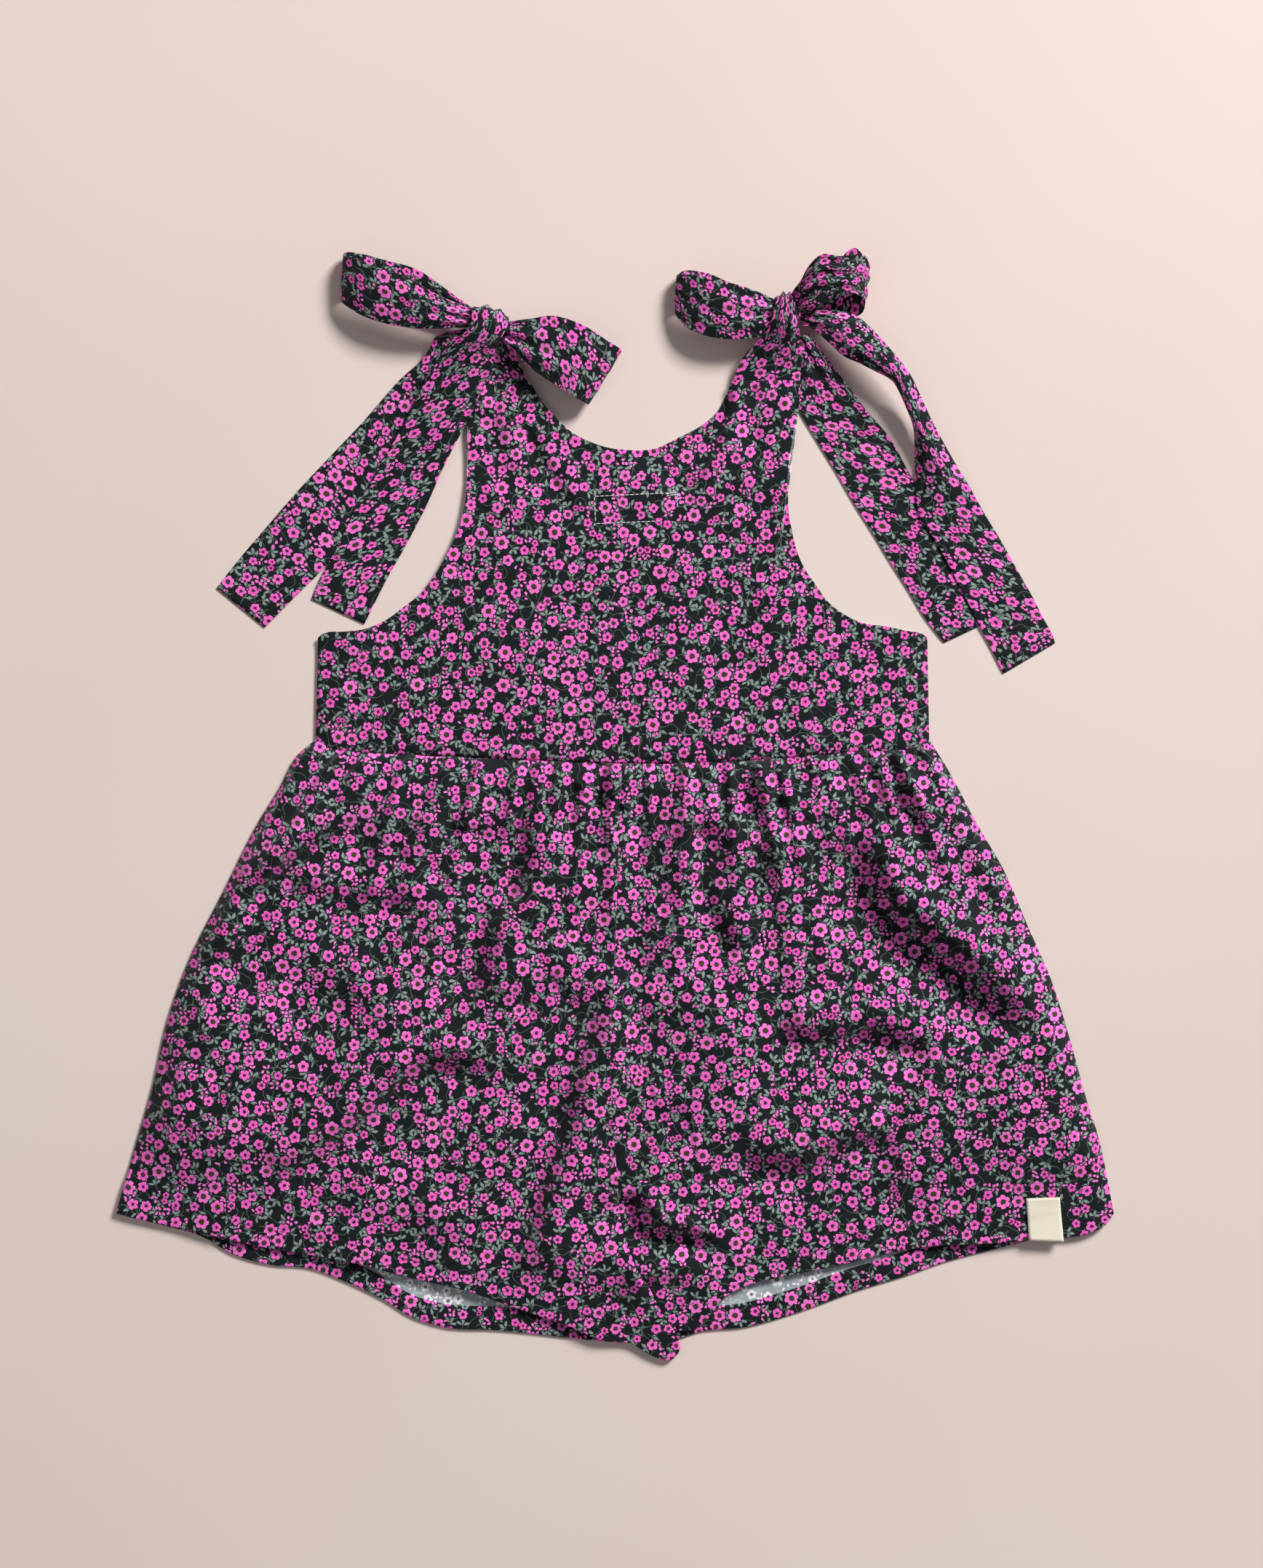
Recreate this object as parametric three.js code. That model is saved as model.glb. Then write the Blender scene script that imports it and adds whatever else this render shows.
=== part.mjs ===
// A toddler's sleeveless playsuit of printed cotton, laid flat with its back uppermost.
// Millimetres. +X is to the viewer's right, +Y towards the shoulders, +Z up from the surface it lies on.
import * as THREE from 'three';

// ---- Sizes of the cloth and the make -------------------------------------------------------
const CLOTH = 1.2;          // wall of one panel, seam allowances pressed in
const TIE = 1.8;            // wall of a tie, a turned tube of two layers pressed flat
const SEAM_GAP = 0.3;       // clear space left between sewn pieces
const HEM_DEPTH = 9.5;      // turned and stitched leg hem
const FOLD_RISE = CLOTH + SEAM_GAP;          // from one layer's middle to the next
const FRONT_MID = CLOTH / 2;                 // front panels lie on the surface
const BACK_MID = FRONT_MID + FOLD_RISE;      // back panels lie on the front ones
const HEM_STACK = 2 * FOLD_RISE;             // two turned hems lie between the layers at the leg edge
const GATHERS_PER_LEG = 9;
const GATHER_HEIGHT = 3.2;
const GATHER_FADE = 34;     // distance below the waist seam over which the gathers die out

// ---- Small tools -----------------------------------------------------------------------------
// A table's rows become objects with the named columns.
function table(columns, rows) {
  const names = columns.split(' ');
  return rows.map((row) => Object.fromEntries(names.map((name, i) => [name, row[i]])));
}

function mix(a, b, t) {
  return a + (b - a) * t;
}

function smooth(t) {
  const c = Math.min(1, Math.max(0, t));
  return c * c * (3 - 2 * c);
}

// A smooth line through a table's stations, read by share of its length.
function edge(rows) {
  const points = rows.map((row) => new THREE.Vector3(row.x, row.y, 0));
  const curve = new THREE.CatmullRomCurve3(points, false, 'centripetal');
  curve.arcLengthDivisions = 400;
  return (t) => curve.getPointAt(Math.min(1, Math.max(0, t)));
}

// ---- Outlines: one row per station -------------------------------------------------------
const WAIST_LEFT = table('x y', [
  [-147.0, 32.0], [-140.5, 28.2], [-124.0, 25.6], [-97.6, 24.3], [-55.8, 22.2], [3.2, 20.0],
]);
const WAIST_RIGHT = table('x y', [
  [3.2, 20.0], [63.6, 21.4], [92.2, 23.6], [118.3, 26.1], [145.9, 28.2], [154.0, 32.0],
]);
const LEFT_SIDE = table('x y', [
  [-147.0, 32.0], [-163.7, 10.0], [-190.9, -40.0], [-209.9, -78.3], [-219.5, -105.5], [-235.2, -167.0],
  [-244.9, -200.2],
]);
const RIGHT_SIDE = table('x y', [
  [154.0, 32.0], [177.0, -8.9], [202.0, -59.0], [223.4, -116.9], [236.7, -162.3], [244.3, -200.2],
]);
const CENTRE_SEAM = table('x y', [
  [3.2, 20.0], [0.4, -55.1], [-2.5, -133.7], [-0.4, -176.6], [5.0, -213.1], [15.7, -234.9],
  [28.2, -254.0],
]);
const FRONT_CENTRE = table('x y', [[3.2, 20.0], [0.7, -100.0], [0.7, -176.6], [5.0, -212.4], [21.1, -264.0]]);
const BACK_HEM_LEFT = table('x y', [
  [-244.9, -200.2], [-213.8, -207.3], [-169.1, -217.4], [-120.8, -225.9], [-87.9, -234.5], [-53.3, -244.9],
  [-19.3, -256.7], [6.0, -263.5], [20.0, -271.5], [29.0, -270.5], [28.2, -254.0],
]);
const BACK_HEM_RIGHT = table('x y', [
  [28.2, -254.0], [36.0, -255.0], [47.2, -248.5], [61.8, -236.7], [103.0, -227.0], [158.0, -215.9],
  [197.3, -212.8], [219.5, -212.0], [233.4, -209.5], [244.3, -200.2],
]);
const FRONT_HEM_LEFT = table('x y', [
  [-244.9, -200.2], [-205.2, -210.9], [-185.9, -220.0], [-150.9, -227.4], [-114.8, -242.4], [-91.0, -254.6],
  [-59.3, -257.8], [-19.3, -262.0], [21.1, -264.0],
]);
const FRONT_HEM_RIGHT = table('x y', [
  [21.1, -264.0], [41.1, -258.8], [89.4, -249.2], [141.6, -231.3], [188.8, -217.4], [219.5, -212.7],
  [244.3, -200.2],
]);
const ARMHOLE_LEFT = table('x y', [
  [-145.9, 82.0], [-133.1, 84.9], [-113.2, 90.2], [-96.4, 102.8], [-81.8, 124.3], [-74.9, 142.1],
  [-72.6, 163.0], [-71.0, 207.7],
]);
const ARMHOLE_RIGHT = table('x y', [
  [90.4, 207.7], [87.6, 185.2], [84.7, 154.8], [86.5, 134.8], [92.8, 115.8], [104.7, 99.0], [121.5, 89.0],
  [142.6, 85.3], [153.0, 82.0],
]);
const BACK_NECK = table('x y', [
  [-42.2, 207.7], [-30.7, 191.3], [-14.3, 178.9], [5.4, 174.0], [25.4, 177.3], [46.1, 189.1], [57.2, 207.7],
]);
const FRONT_NECK = table('x y', [
  [-44.0, 207.7], [-36.0, 184.0], [-16.0, 163.0], [7.0, 158.0], [30.0, 163.0], [50.0, 184.0], [60.0, 207.7],
]);

// ---- Folds of the back panels: a row per fold, through three stations; deep is its height ----
const FOLDS = table('x0 y0 x1 y1 x2 y2 half deep', [
  [-117, 2, -167, -34, -209, -102, 11, -3.6],
  [-167, -39, -134, -44, -88, -50, 9, -2.0],
  [-41, -5, -56, -51, -84, -102, 12, -3.2],
  [-56, -130, -99, -133, -168, -186, 13, -3.0],
  [1, -87, -24, -152, -59, -230, 13, -3.4],
  [116, -9, 137, -53, 198, -116, 13, -3.8],
  [46, -5, 47, -43, 60, -77, 10, -2.8],
  [21, 16, 19, -44, 1, -102, 12, -2.4],
  [73, -105, 109, -114, 159, -123, 12, -3.0],
  [55, -169, 87, -177, 141, -162, 12, -3.0],
  [7, -187, 22, -211, 59, -227, 14, -3.8],
  [14, -226, 36, -232, 48, -243, 12, 7.0],
  [-140, -20, -185, -75, -215, -150, 18, 3.4],
  [-70, -20, -110, -90, -150, -130, 20, 3.0],
  [-8, -30, -28, -100, -70, -185, 20, 3.4],
  [80, -20, 100, -70, 140, -95, 20, 3.4],
  [30, -60, 45, -130, 95, -150, 20, 3.0],
  [160, -90, 185, -140, 200, -185, 18, 2.6],
]);

// ---- Ties: a row per station, from the knot outwards; a and b are the band's two edges ------
const BAND_COLUMNS = 'ax ay bx by z';
const LEFT_LOOP_OUTER = table(BAND_COLUMNS, [
  [-72, 242, -74, 233, 12], [-84, 248, -86, 232, 14.5], [-102, 256, -102, 233, 16], [-117, 262, -117, 236, 15.5],
  [-129, 267, -129, 243, 12.5], [-132.5, 269.5, -134, 247, 8], [-130, 270, -132, 251, 4.2],
  [-117, 268, -118, 245, 3.4], [-98, 263, -100, 238, 4], [-80, 251, -83, 236, 6],
]);
const LEFT_LOOP_INNER = table(BAND_COLUMNS, [
  [-51, 235, -50, 225, 14], [-41, 236, -42, 214, 17.5], [-28, 237, -28, 204, 18.5], [-13, 232, -21, 200, 16.5],
  [-3, 226, -16, 197, 12], [3, 222, -13, 196, 8], [0, 223, -16, 199, 5.2], [-16, 230, -28, 207, 5.2],
  [-40, 233, -44, 219, 7], [-50, 233, -49, 226, 9.5],
]);
const LEFT_TAIL_LOWER = table(BAND_COLUMNS, [
  [-84, 227, -72, 218, 5.6], [-102, 209, -84, 195, 2.4], [-124, 188, -103, 169, 0.9], [-162, 148, -137, 124, 0.9],
  [-196, 105, -172, 87, 0.9],
]);
const LEFT_TAIL_UPPER = table(BAND_COLUMNS, [
  [-69, 227, -57, 225, 15], [-80, 217, -64, 211, 11.5], [-92, 201, -70, 195, 8], [-105, 182, -77, 181, 5],
  [-117, 165, -85, 162, 3.2], [-136, 127, -104, 125, 3.2], [-144, 111, -115, 106, 2.2], [-149, 101, -123, 89, 0.9],
]);
const LEFT_STUB = table(BAND_COLUMNS, [
  [-71, 208.2, -42.5, 208.2, 3.6], [-69, 217, -48, 217, 5], [-66, 225, -52, 223, 8],
]);
const RIGHT_LOOP_OUTER = table(BAND_COLUMNS, [
  [73, 247, 73, 236, 13], [64, 251, 65, 227, 16], [51, 254, 51, 227, 17], [40, 257, 40, 231, 15],
  [33, 257, 33, 236, 11], [30, 256, 30, 240, 7.5], [33, 260, 32, 242, 4.5], [43, 261, 41, 240, 3.6],
  [59, 255, 57, 237, 4], [72, 249, 71, 238, 6.5],
]);
const RIGHT_LOOP_INNER = table(BAND_COLUMNS, [
  [91, 250, 91, 243, 15], [93, 257, 93, 245, 21], [99, 266, 99, 248, 26], [109, 265, 108, 249, 27],
  [118, 265, 116, 248, 24], [123, 263, 120, 245, 18], [122, 268, 120, 241, 11], [116, 271, 114, 238, 6],
  [105, 262, 103, 238, 5], [93, 250, 92, 239, 6.5],
]);
const RIGHT_TAIL_LOWER = table(BAND_COLUMNS, [
  [88, 227, 98, 227, 5], [91.5, 213, 108, 216, 2.6], [92, 197, 122, 196, 0.9], [104, 171, 137, 176, 0.9],
  [117, 147, 147, 155, 0.9], [135, 119, 159, 131, 0.9], [152, 92, 173, 106, 0.9], [162, 79, 178, 88, 0.9],
]);
const RIGHT_TAIL_UPPER = table(BAND_COLUMNS, [
  [100, 230, 111, 240, 12], [105, 225, 120, 236, 13], [118, 216, 132, 224, 13.5], [136, 207, 144, 209, 12.5],
  [144, 192, 153, 191, 9.5], [147, 174, 162, 174, 6.5], [147, 156, 174, 155, 4.2], [152, 137, 185, 137, 3.2],
  [164, 116, 196, 117, 3.2], [177, 91, 209, 93, 3.2], [191, 64, 216, 80, 2.2],
]);
const RIGHT_STUB = table(BAND_COLUMNS, [
  [57.5, 208.2, 90, 208.2, 3.6], [66, 220, 89, 219, 6], [75, 228, 87.5, 227, 9],
]);
const KNOTS = table('name x y z rx ry rz turn', [
  ['left_bow_knot', -61.5, 234.0, 11.0, 9.4, 7.4, 8.6, -0.5],
  ['right_bow_knot', 82.0, 242.0, 11.5, 8.6, 8.0, 8.6, 0.3],
]);
const LABEL = { u0: 0.783, u1: 0.856, v0: 0.912, v1: 0.999, wall: 0.8 };  // its place on the back right leg

// ---- Heights ---------------------------------------------------------------------------------
function distanceToFold(x, y, fold) {
  const stations = [[fold.x0, fold.y0], [fold.x1, fold.y1], [fold.x2, fold.y2]];
  let best = { off: Infinity, along: 0 };
  for (let i = 0; i < 2; i += 1) {
    const [px, py] = stations[i];
    const dx = stations[i + 1][0] - px;
    const dy = stations[i + 1][1] - py;
    const t = Math.min(1, Math.max(0, ((x - px) * dx + (y - py) * dy) / (dx * dx + dy * dy)));
    const off = Math.hypot(x - px - t * dx, y - py - t * dy);
    if (off < best.off) {
      best = { off, along: (i + t) / 2 };
    }
  }
  return best;
}

// The folds' share of the height: each is a rounded ridge or trough that fades at both ends.
function foldHeight(x, y) {
  let sum = 0;
  for (const fold of FOLDS) {
    const { off, along } = distanceToFold(x, y, fold);
    const across = Math.max(0, 1 - off / fold.half);
    const fade = smooth(Math.min(along, 1 - along) * 4 + 0.25);
    sum += fold.deep * smooth(across) * fade;
  }
  return sum;
}

function gatherHeight(u, below) {
  const uneven = u + 0.018 * Math.sin(9 * u + 1) + 0.01 * Math.sin(23 * u);
  const wave = 0.5 - 0.5 * Math.cos(2 * Math.PI * GATHERS_PER_LEG * uneven);
  return GATHER_HEIGHT * wave * Math.exp(-below / GATHER_FADE) * smooth(below / 5 + 0.35);
}

// ---- Solids ----------------------------------------------------------------------------------
// A closed wall of even thickness about a grid of points, rows by columns. Its side rims stay upright.
function wall(grid, thickness) {
  const rows = grid.length;
  const cols = grid[0].length;
  const upper = [];
  const lower = [];
  for (let r = 0; r < rows; r += 1) {
    for (let c = 0; c < cols; c += 1) {
      const down = grid[Math.min(rows - 1, r + 1)][c].clone().sub(grid[Math.max(0, r - 1)][c]);
      const across = grid[r][Math.min(cols - 1, c + 1)].clone().sub(grid[r][Math.max(0, c - 1)]);
      const normal = down.clone().cross(across);
      if (c === 0 || c === cols - 1) {
        const run = grid[Math.max(1, r)][c].clone().sub(grid[Math.max(0, r - 1)][c]);
        const outward = new THREE.Vector3(run.y, -run.x, 0).normalize();
        normal.addScaledVector(outward, -normal.dot(outward));
      }
      normal.normalize().multiplyScalar(thickness / 2);
      upper.push(grid[r][c].clone().add(normal));
      lower.push(grid[r][c].clone().sub(normal));
    }
  }
  const vertices = upper.concat(lower);
  const under = upper.length;
  const triangles = [];
  const quad = (a, b, c, d) => triangles.push(a, b, c, a, c, d);
  for (let r = 0; r < rows - 1; r += 1) {
    for (let c = 0; c < cols - 1; c += 1) {
      const a = r * cols + c;
      quad(a, a + cols, a + cols + 1, a + 1);
      quad(under + a, under + a + 1, under + a + cols + 1, under + a + cols);
    }
  }
  const rim = [];
  for (let c = 0; c < cols; c += 1) rim.push(c);
  for (let r = 1; r < rows; r += 1) rim.push(r * cols + cols - 1);
  for (let c = cols - 2; c >= 0; c -= 1) rim.push((rows - 1) * cols + c);
  for (let r = rows - 2; r > 0; r -= 1) rim.push(r * cols);
  rim.forEach((a, i) => {
    const b = rim[(i + 1) % rim.length];
    quad(a, b, under + b, under + a);
  });
  const geometry = new THREE.BufferGeometry();
  geometry.setAttribute('position', new THREE.Float32BufferAttribute(vertices.flatMap((p) => [p.x, p.y, p.z]), 3));
  geometry.setIndex(triangles);
  geometry.computeVertexNormals();
  return geometry;
}

// A point of the panel that four edges bound: u runs left to right, v from its top to its bottom.
function panelPoint(panel, u, v) {
  const p = panel.top(u).multiplyScalar(1 - v);
  p.add(panel.bottom(u).multiplyScalar(v));
  p.add(panel.left(v).multiplyScalar(1 - u));
  p.add(panel.right(v).multiplyScalar(u));
  p.sub(panel.top(0).multiplyScalar((1 - u) * (1 - v)));
  p.sub(panel.top(1).multiplyScalar(u * (1 - v)));
  p.sub(panel.bottom(0).multiplyScalar((1 - u) * v));
  p.sub(panel.bottom(1).multiplyScalar(u * v));
  return p;
}

// A leg panel from waist to hem, then its hem, turned up (side 1) or under (side -1).
function legPanel(panel, cols, rows, height, side) {
  const grid = [];
  const along = [];
  for (let r = 0; r < rows; r += 1) {
    along.push({ v: Math.pow(r / rows, 1.15), turn: 0 });
  }
  const drop = 1 / 235;
  along.push({ v: 1 - 1.2 * drop, turn: 0 });
  along.push({ v: 1 - 0.3 * drop, turn: 0.5 });
  along.push({ v: 1 - 1.2 * drop, turn: 1 });
  along.push({ v: 1 - HEM_DEPTH * drop, turn: 1 });
  for (const { v, turn } of along) {
    const row = [];
    for (let c = 0; c <= cols; c += 1) {
      const u = c / cols;
      const p = panelPoint(panel, u, v);
      p.z = height(p.x, p.y, u, v) + side * turn * FOLD_RISE;
      row.push(p);
    }
    grid.push(row);
  }
  return wall(grid, CLOTH);
}

// The back panels: resting on the front ones at the sides, puffed between, clear of the hems.
function backLegHeight(gatherOffset) {
  return (x, y, u, v) => {
    const side = smooth(Math.min(u, 1 - u) * 6);
    const below = v * 235;
    const top = smooth(v * 14);
    const puff = 3.4 * side * top + foldHeight(x, y) * mix(0.35, 1, side) * smooth(v * 9);
    const hem = HEM_STACK * smooth((v - 0.8) / 0.13);
    const gathers = gatherHeight(u + gatherOffset, below) * mix(0.3, 1, side);
    const end = mix(1, 0.45, smooth((v - 0.9) / 0.1));
    return BACK_MID + hem + Math.max(0, puff * end + gathers);
  };
}

function frontLegHeight() {
  return FRONT_MID;
}

// A bodice panel: straight lines from the waist seam up to armhole, strap end, neck and armhole.
function bodicePanel(neck, height, inset) {
  const armLeft = edge(ARMHOLE_LEFT);
  const armRight = edge(ARMHOLE_RIGHT);
  const neckEdge = edge(neck);
  const waist = edge([...WAIST_LEFT, ...WAIST_RIGHT.slice(1)]);
  const strap = (from, to) => (t) => from.clone().lerp(to, t);
  const runs = [
    { top: armLeft, cols: 11, from: 0, to: 0.245 },
    { top: strap(armLeft(1), neckEdge(0)), cols: 2, from: 0.245, to: 0.34 },
    { top: neckEdge, cols: 14, from: 0.34, to: 0.69 },
    { top: strap(neckEdge(1), armRight(0)), cols: 2, from: 0.69, to: 0.785 },
    { top: armRight, cols: 11, from: 0.785, to: 1 },
  ];
  const rise = [0, 0.14, 0.4, 0.66, 0.88, 1];
  const grid = rise.map(() => []);
  runs.forEach((run, i) => {
    for (let c = i === 0 ? 0 : 1; c <= run.cols; c += 1) {
      const t = c / run.cols;
      const low = waist(mix(run.from, run.to, t));
      const high = run.top(t);
      low.y += 3 * SEAM_GAP;
      rise.forEach((share, r) => {
        const p = low.clone().lerp(high, share);
        p.x -= inset * Math.sign(p.x);
        p.z = height(p.x, p.y);
        grid[r].push(p);
      });
    }
  });
  return wall(grid.reverse(), CLOTH);
}

function backBodiceHeight(x, y) {
  const side = smooth((150 - Math.abs(x - 3)) / 45);
  const strap = smooth((y - 170) / 38);
  const middle = smooth((y - 22) / 22) * (1 - 0.6 * smooth((y - 120) / 60));
  return BACK_MID + 1.6 * side * middle + 1.5 * strap;
}

// A tie's band from its table: two edges, with a slight lift along its middle.
function band(rows, cols, steps) {
  const a = new THREE.CatmullRomCurve3(rows.map((row) => new THREE.Vector3(row.ax, row.ay, row.z)));
  const b = new THREE.CatmullRomCurve3(rows.map((row) => new THREE.Vector3(row.bx, row.by, row.z)));
  const grid = [];
  for (let s = 0; s <= steps; s += 1) {
    const row = [];
    for (let c = 0; c <= cols; c += 1) {
      const p = a.getPoint(s / steps).lerp(b.getPoint(s / steps), c / cols);
      p.z = Math.max(TIE / 2, p.z);
      row.push(p);
    }
    grid.push(row);
  }
  return wall(grid, TIE);
}

// A pulled-tight knot: a rounded lump with two shallow wraps round it.
function knot(row) {
  const geometry = new THREE.SphereGeometry(1, 14, 9);
  const place = geometry.getAttribute('position');
  for (let i = 0; i < place.count; i += 1) {
    const p = new THREE.Vector3().fromBufferAttribute(place, i);
    const wrap = 1 + 0.05 * Math.cos(6 * p.x);
    p.set(p.x * row.rx, p.y * row.ry * wrap, p.z * row.rz * wrap);
    p.applyAxisAngle(new THREE.Vector3(0, 0, 1), row.turn);
    place.setXYZ(i, p.x + row.x, p.y + row.y, p.z + row.z);
  }
  return geometry;
}

// The label lies on its panel: the panel's own points, moved out.
function labelOn(panel, height) {
  const out = CLOTH / 2 + SEAM_GAP + LABEL.wall / 2 + 0.25;
  const grid = [];
  for (let r = 0; r <= 4; r += 1) {
    const row = [];
    for (let c = 0; c <= 3; c += 1) {
      const u = mix(LABEL.u0, LABEL.u1, c / 3);
      const v = mix(LABEL.v0, LABEL.v1, r / 4);
      const p = panelPoint(panel, u, v);
      p.z = height(p.x, p.y, u, v) + out;
      row.push(p);
    }
    grid.push(row);
  }
  return wall(grid, LABEL.wall);
}

// ---- The parts -------------------------------------------------------------------------------
const PRINT = { color: 0x2a1c2a, roughness: 0.85, metalness: 0 };
const CREAM = { color: 0xf3efdc, roughness: 0.8, metalness: 0 };

// The two halves of a pair of legs stop short of the centre seam's line by half the gap each.
function legPair(centre, hemLeft, hemRight) {
  const half = SEAM_GAP / 2;
  const moved = (row, by) => ({ x: row.x + by, y: row.y });
  const waistLeft = WAIST_LEFT.map((row, i) => (i === WAIST_LEFT.length - 1 ? moved(row, -half) : row));
  const waistRight = WAIST_RIGHT.map((row, i) => (i === 0 ? moved(row, half) : row));
  const left = hemLeft.map((row, i) => (i === hemLeft.length - 1 ? moved(row, -half) : row));
  const right = hemRight.map((row, i) => (i === 0 ? moved(row, half) : row));
  return {
    left: {
      top: edge(waistLeft),
      bottom: edge(left),
      left: edge(LEFT_SIDE),
      right: edge(centre.map((row) => moved(row, -half))),
    },
    right: {
      top: edge(waistRight),
      bottom: edge(right),
      left: edge(centre.map((row) => moved(row, half))),
      right: edge(RIGHT_SIDE),
    },
  };
}

const front = legPair(FRONT_CENTRE, FRONT_HEM_LEFT, FRONT_HEM_RIGHT);
const back = legPair(CENTRE_SEAM, BACK_HEM_LEFT, BACK_HEM_RIGHT);

const solids = {
  front_bodice: bodicePanel(FRONT_NECK, () => FRONT_MID, 0.6),
  back_bodice: bodicePanel(BACK_NECK, backBodiceHeight, 0),
  front_left_leg: legPanel(front.left, 12, 5, frontLegHeight, 1),
  front_right_leg: legPanel(front.right, 12, 5, frontLegHeight, 1),
  back_left_leg: legPanel(back.left, 29, 14, backLegHeight(0), -1),
  back_right_leg: legPanel(back.right, 29, 14, backLegHeight(0.03), -1),
  left_back_tie: band(LEFT_STUB, 2, 3),
  right_back_tie: band(RIGHT_STUB, 2, 3),
  left_bow_outer_loop: band(LEFT_LOOP_OUTER, 2, 18),
  left_bow_inner_loop: band(LEFT_LOOP_INNER, 2, 18),
  left_bow_lower_tail: band(LEFT_TAIL_LOWER, 2, 8),
  left_bow_upper_tail: band(LEFT_TAIL_UPPER, 2, 12),
  right_bow_outer_loop: band(RIGHT_LOOP_OUTER, 2, 18),
  right_bow_inner_loop: band(RIGHT_LOOP_INNER, 2, 18),
  right_bow_lower_tail: band(RIGHT_TAIL_LOWER, 2, 10),
  right_bow_upper_tail: band(RIGHT_TAIL_UPPER, 3, 16),
  hem_label: labelOn(back.right, backLegHeight(0.03)),
};
KNOTS.forEach((row) => {
  solids[row.name] = knot(row);
});

// The origin is the middle of the whole outline, on the surface.
const extent = new THREE.Box3();
Object.values(solids).forEach((geometry) => {
  geometry.computeBoundingBox();
  extent.union(geometry.boundingBox);
});
const middle = extent.getCenter(new THREE.Vector3());

const playsuit = new THREE.Group();
Object.entries(solids).forEach(([name, geometry]) => {
  geometry.translate(-middle.x, -middle.y, -extent.min.z);
  const finish = name === 'hem_label' ? CREAM : PRINT;
  const mesh = new THREE.Mesh(geometry, new THREE.MeshStandardMaterial(finish));
  mesh.name = name;
  playsuit.add(mesh);
});

export default playsuit;
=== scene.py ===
"""A toddler's sleeveless playsuit of printed cotton poplin, laid flat with its back uppermost.

Lengths in the tables and the classes are millimetres; meshes are made in metres, in the part's own frame.
+X runs to the right seen from above, +Y from the hems to the shoulders and +Z up from the board.
"""

import logging
import math
from dataclasses import dataclass
from enum import Enum
from functools import partial
from typing import Any, Callable, Sequence

import bmesh
import bpy
import numpy as np
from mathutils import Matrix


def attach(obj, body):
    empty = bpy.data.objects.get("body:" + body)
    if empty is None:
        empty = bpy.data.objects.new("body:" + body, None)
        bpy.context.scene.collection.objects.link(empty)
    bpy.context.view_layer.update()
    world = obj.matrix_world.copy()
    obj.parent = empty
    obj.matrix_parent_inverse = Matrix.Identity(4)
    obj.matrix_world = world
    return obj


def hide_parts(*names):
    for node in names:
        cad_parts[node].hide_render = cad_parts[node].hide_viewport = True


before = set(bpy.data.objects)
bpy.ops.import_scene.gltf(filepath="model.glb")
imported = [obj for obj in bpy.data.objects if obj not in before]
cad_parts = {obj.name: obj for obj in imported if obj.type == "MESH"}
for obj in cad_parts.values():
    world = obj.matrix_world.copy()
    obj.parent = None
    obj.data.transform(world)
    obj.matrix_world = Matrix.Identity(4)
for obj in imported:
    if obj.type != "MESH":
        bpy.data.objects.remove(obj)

LOG = logging.getLogger("playsuit")
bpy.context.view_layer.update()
MM = 0.001
FOLD_DEPTH = 2.0  # how many times its stated drop a fold goes down
FOLD_CRISPNESS = 1.5  # how many times steeper than its stated width a fold falls
Array = np.ndarray
Rows = Sequence[Sequence[float]]


# ---------------------------------------------------------------- curves and surfaces


class Line:
    """A smooth line through a table's stations, read by share of its length."""

    def __init__(self, rows: Rows, measured: Sequence[Sequence[int]] = ((0, 1),), per_span: int = 24) -> None:
        """Fit the line: a cubic Hermite span between stations, its tangents weighted by chord length.

        Args:
            rows: the stations, one row each, any number of columns.
            measured: groups of columns whose mean point the length is measured along.
            per_span: samples kept between two stations.
        """
        p = np.asarray(rows, float)
        point = np.mean([p[:, list(group)] for group in measured], axis=0)
        h = np.maximum(np.linalg.norm(np.diff(point, axis=0), axis=1), 1e-6)[:, None]
        slope = np.diff(p, axis=0) / h
        tangent = np.empty_like(p)
        tangent[0], tangent[-1] = slope[0], slope[-1]
        tangent[1:-1] = (slope[1:] * h[:-1] + slope[:-1] * h[1:]) / (h[1:] + h[:-1])
        t = np.linspace(0, 1, per_span, endpoint=False)[None, :, None]
        a, b = p[:-1, None, :], p[1:, None, :]
        m0, m1, span = tangent[:-1, None, :], tangent[1:, None, :], h[:, None, :]
        curve = (
            (2 * t**3 - 3 * t**2 + 1) * a
            + (t**3 - 2 * t**2 + t) * span * m0
            + (3 * t**2 - 2 * t**3) * b
            + (t**3 - t**2) * span * m1
        )
        self.points = np.vstack([curve.reshape(-1, p.shape[1]), p[-1:]])
        middle = np.mean([self.points[:, list(group)] for group in measured], axis=0)
        run = np.concatenate([[0], np.cumsum(np.linalg.norm(np.diff(middle, axis=0), axis=1))])
        self.length = float(run[-1])
        self.share = run / run[-1]

    def at(self, t: Array | float) -> Array:
        """Give the line's columns at shares t of its length, by linear reading of its samples."""
        t = np.clip(np.asarray(t, float), 0, 1)
        return np.stack([np.interp(t, self.share, column) for column in self.points.T], axis=-1)


def smooth(t: Array) -> Array:
    """Ease t from 0 to 1 with level ends: 3 t squared less 2 t cubed."""
    t = np.clip(t, 0, 1)
    return t * t * (3 - 2 * t)


def soft_floor(z: Array, floor: Array | float, ease: float = 0.7) -> Array:
    """Keep z above floor with a rounded corner: floor plus ease times log(1 + exp((z - floor) / ease))."""
    return floor + ease * np.logaddexp(0, (z - floor) / ease)


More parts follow.
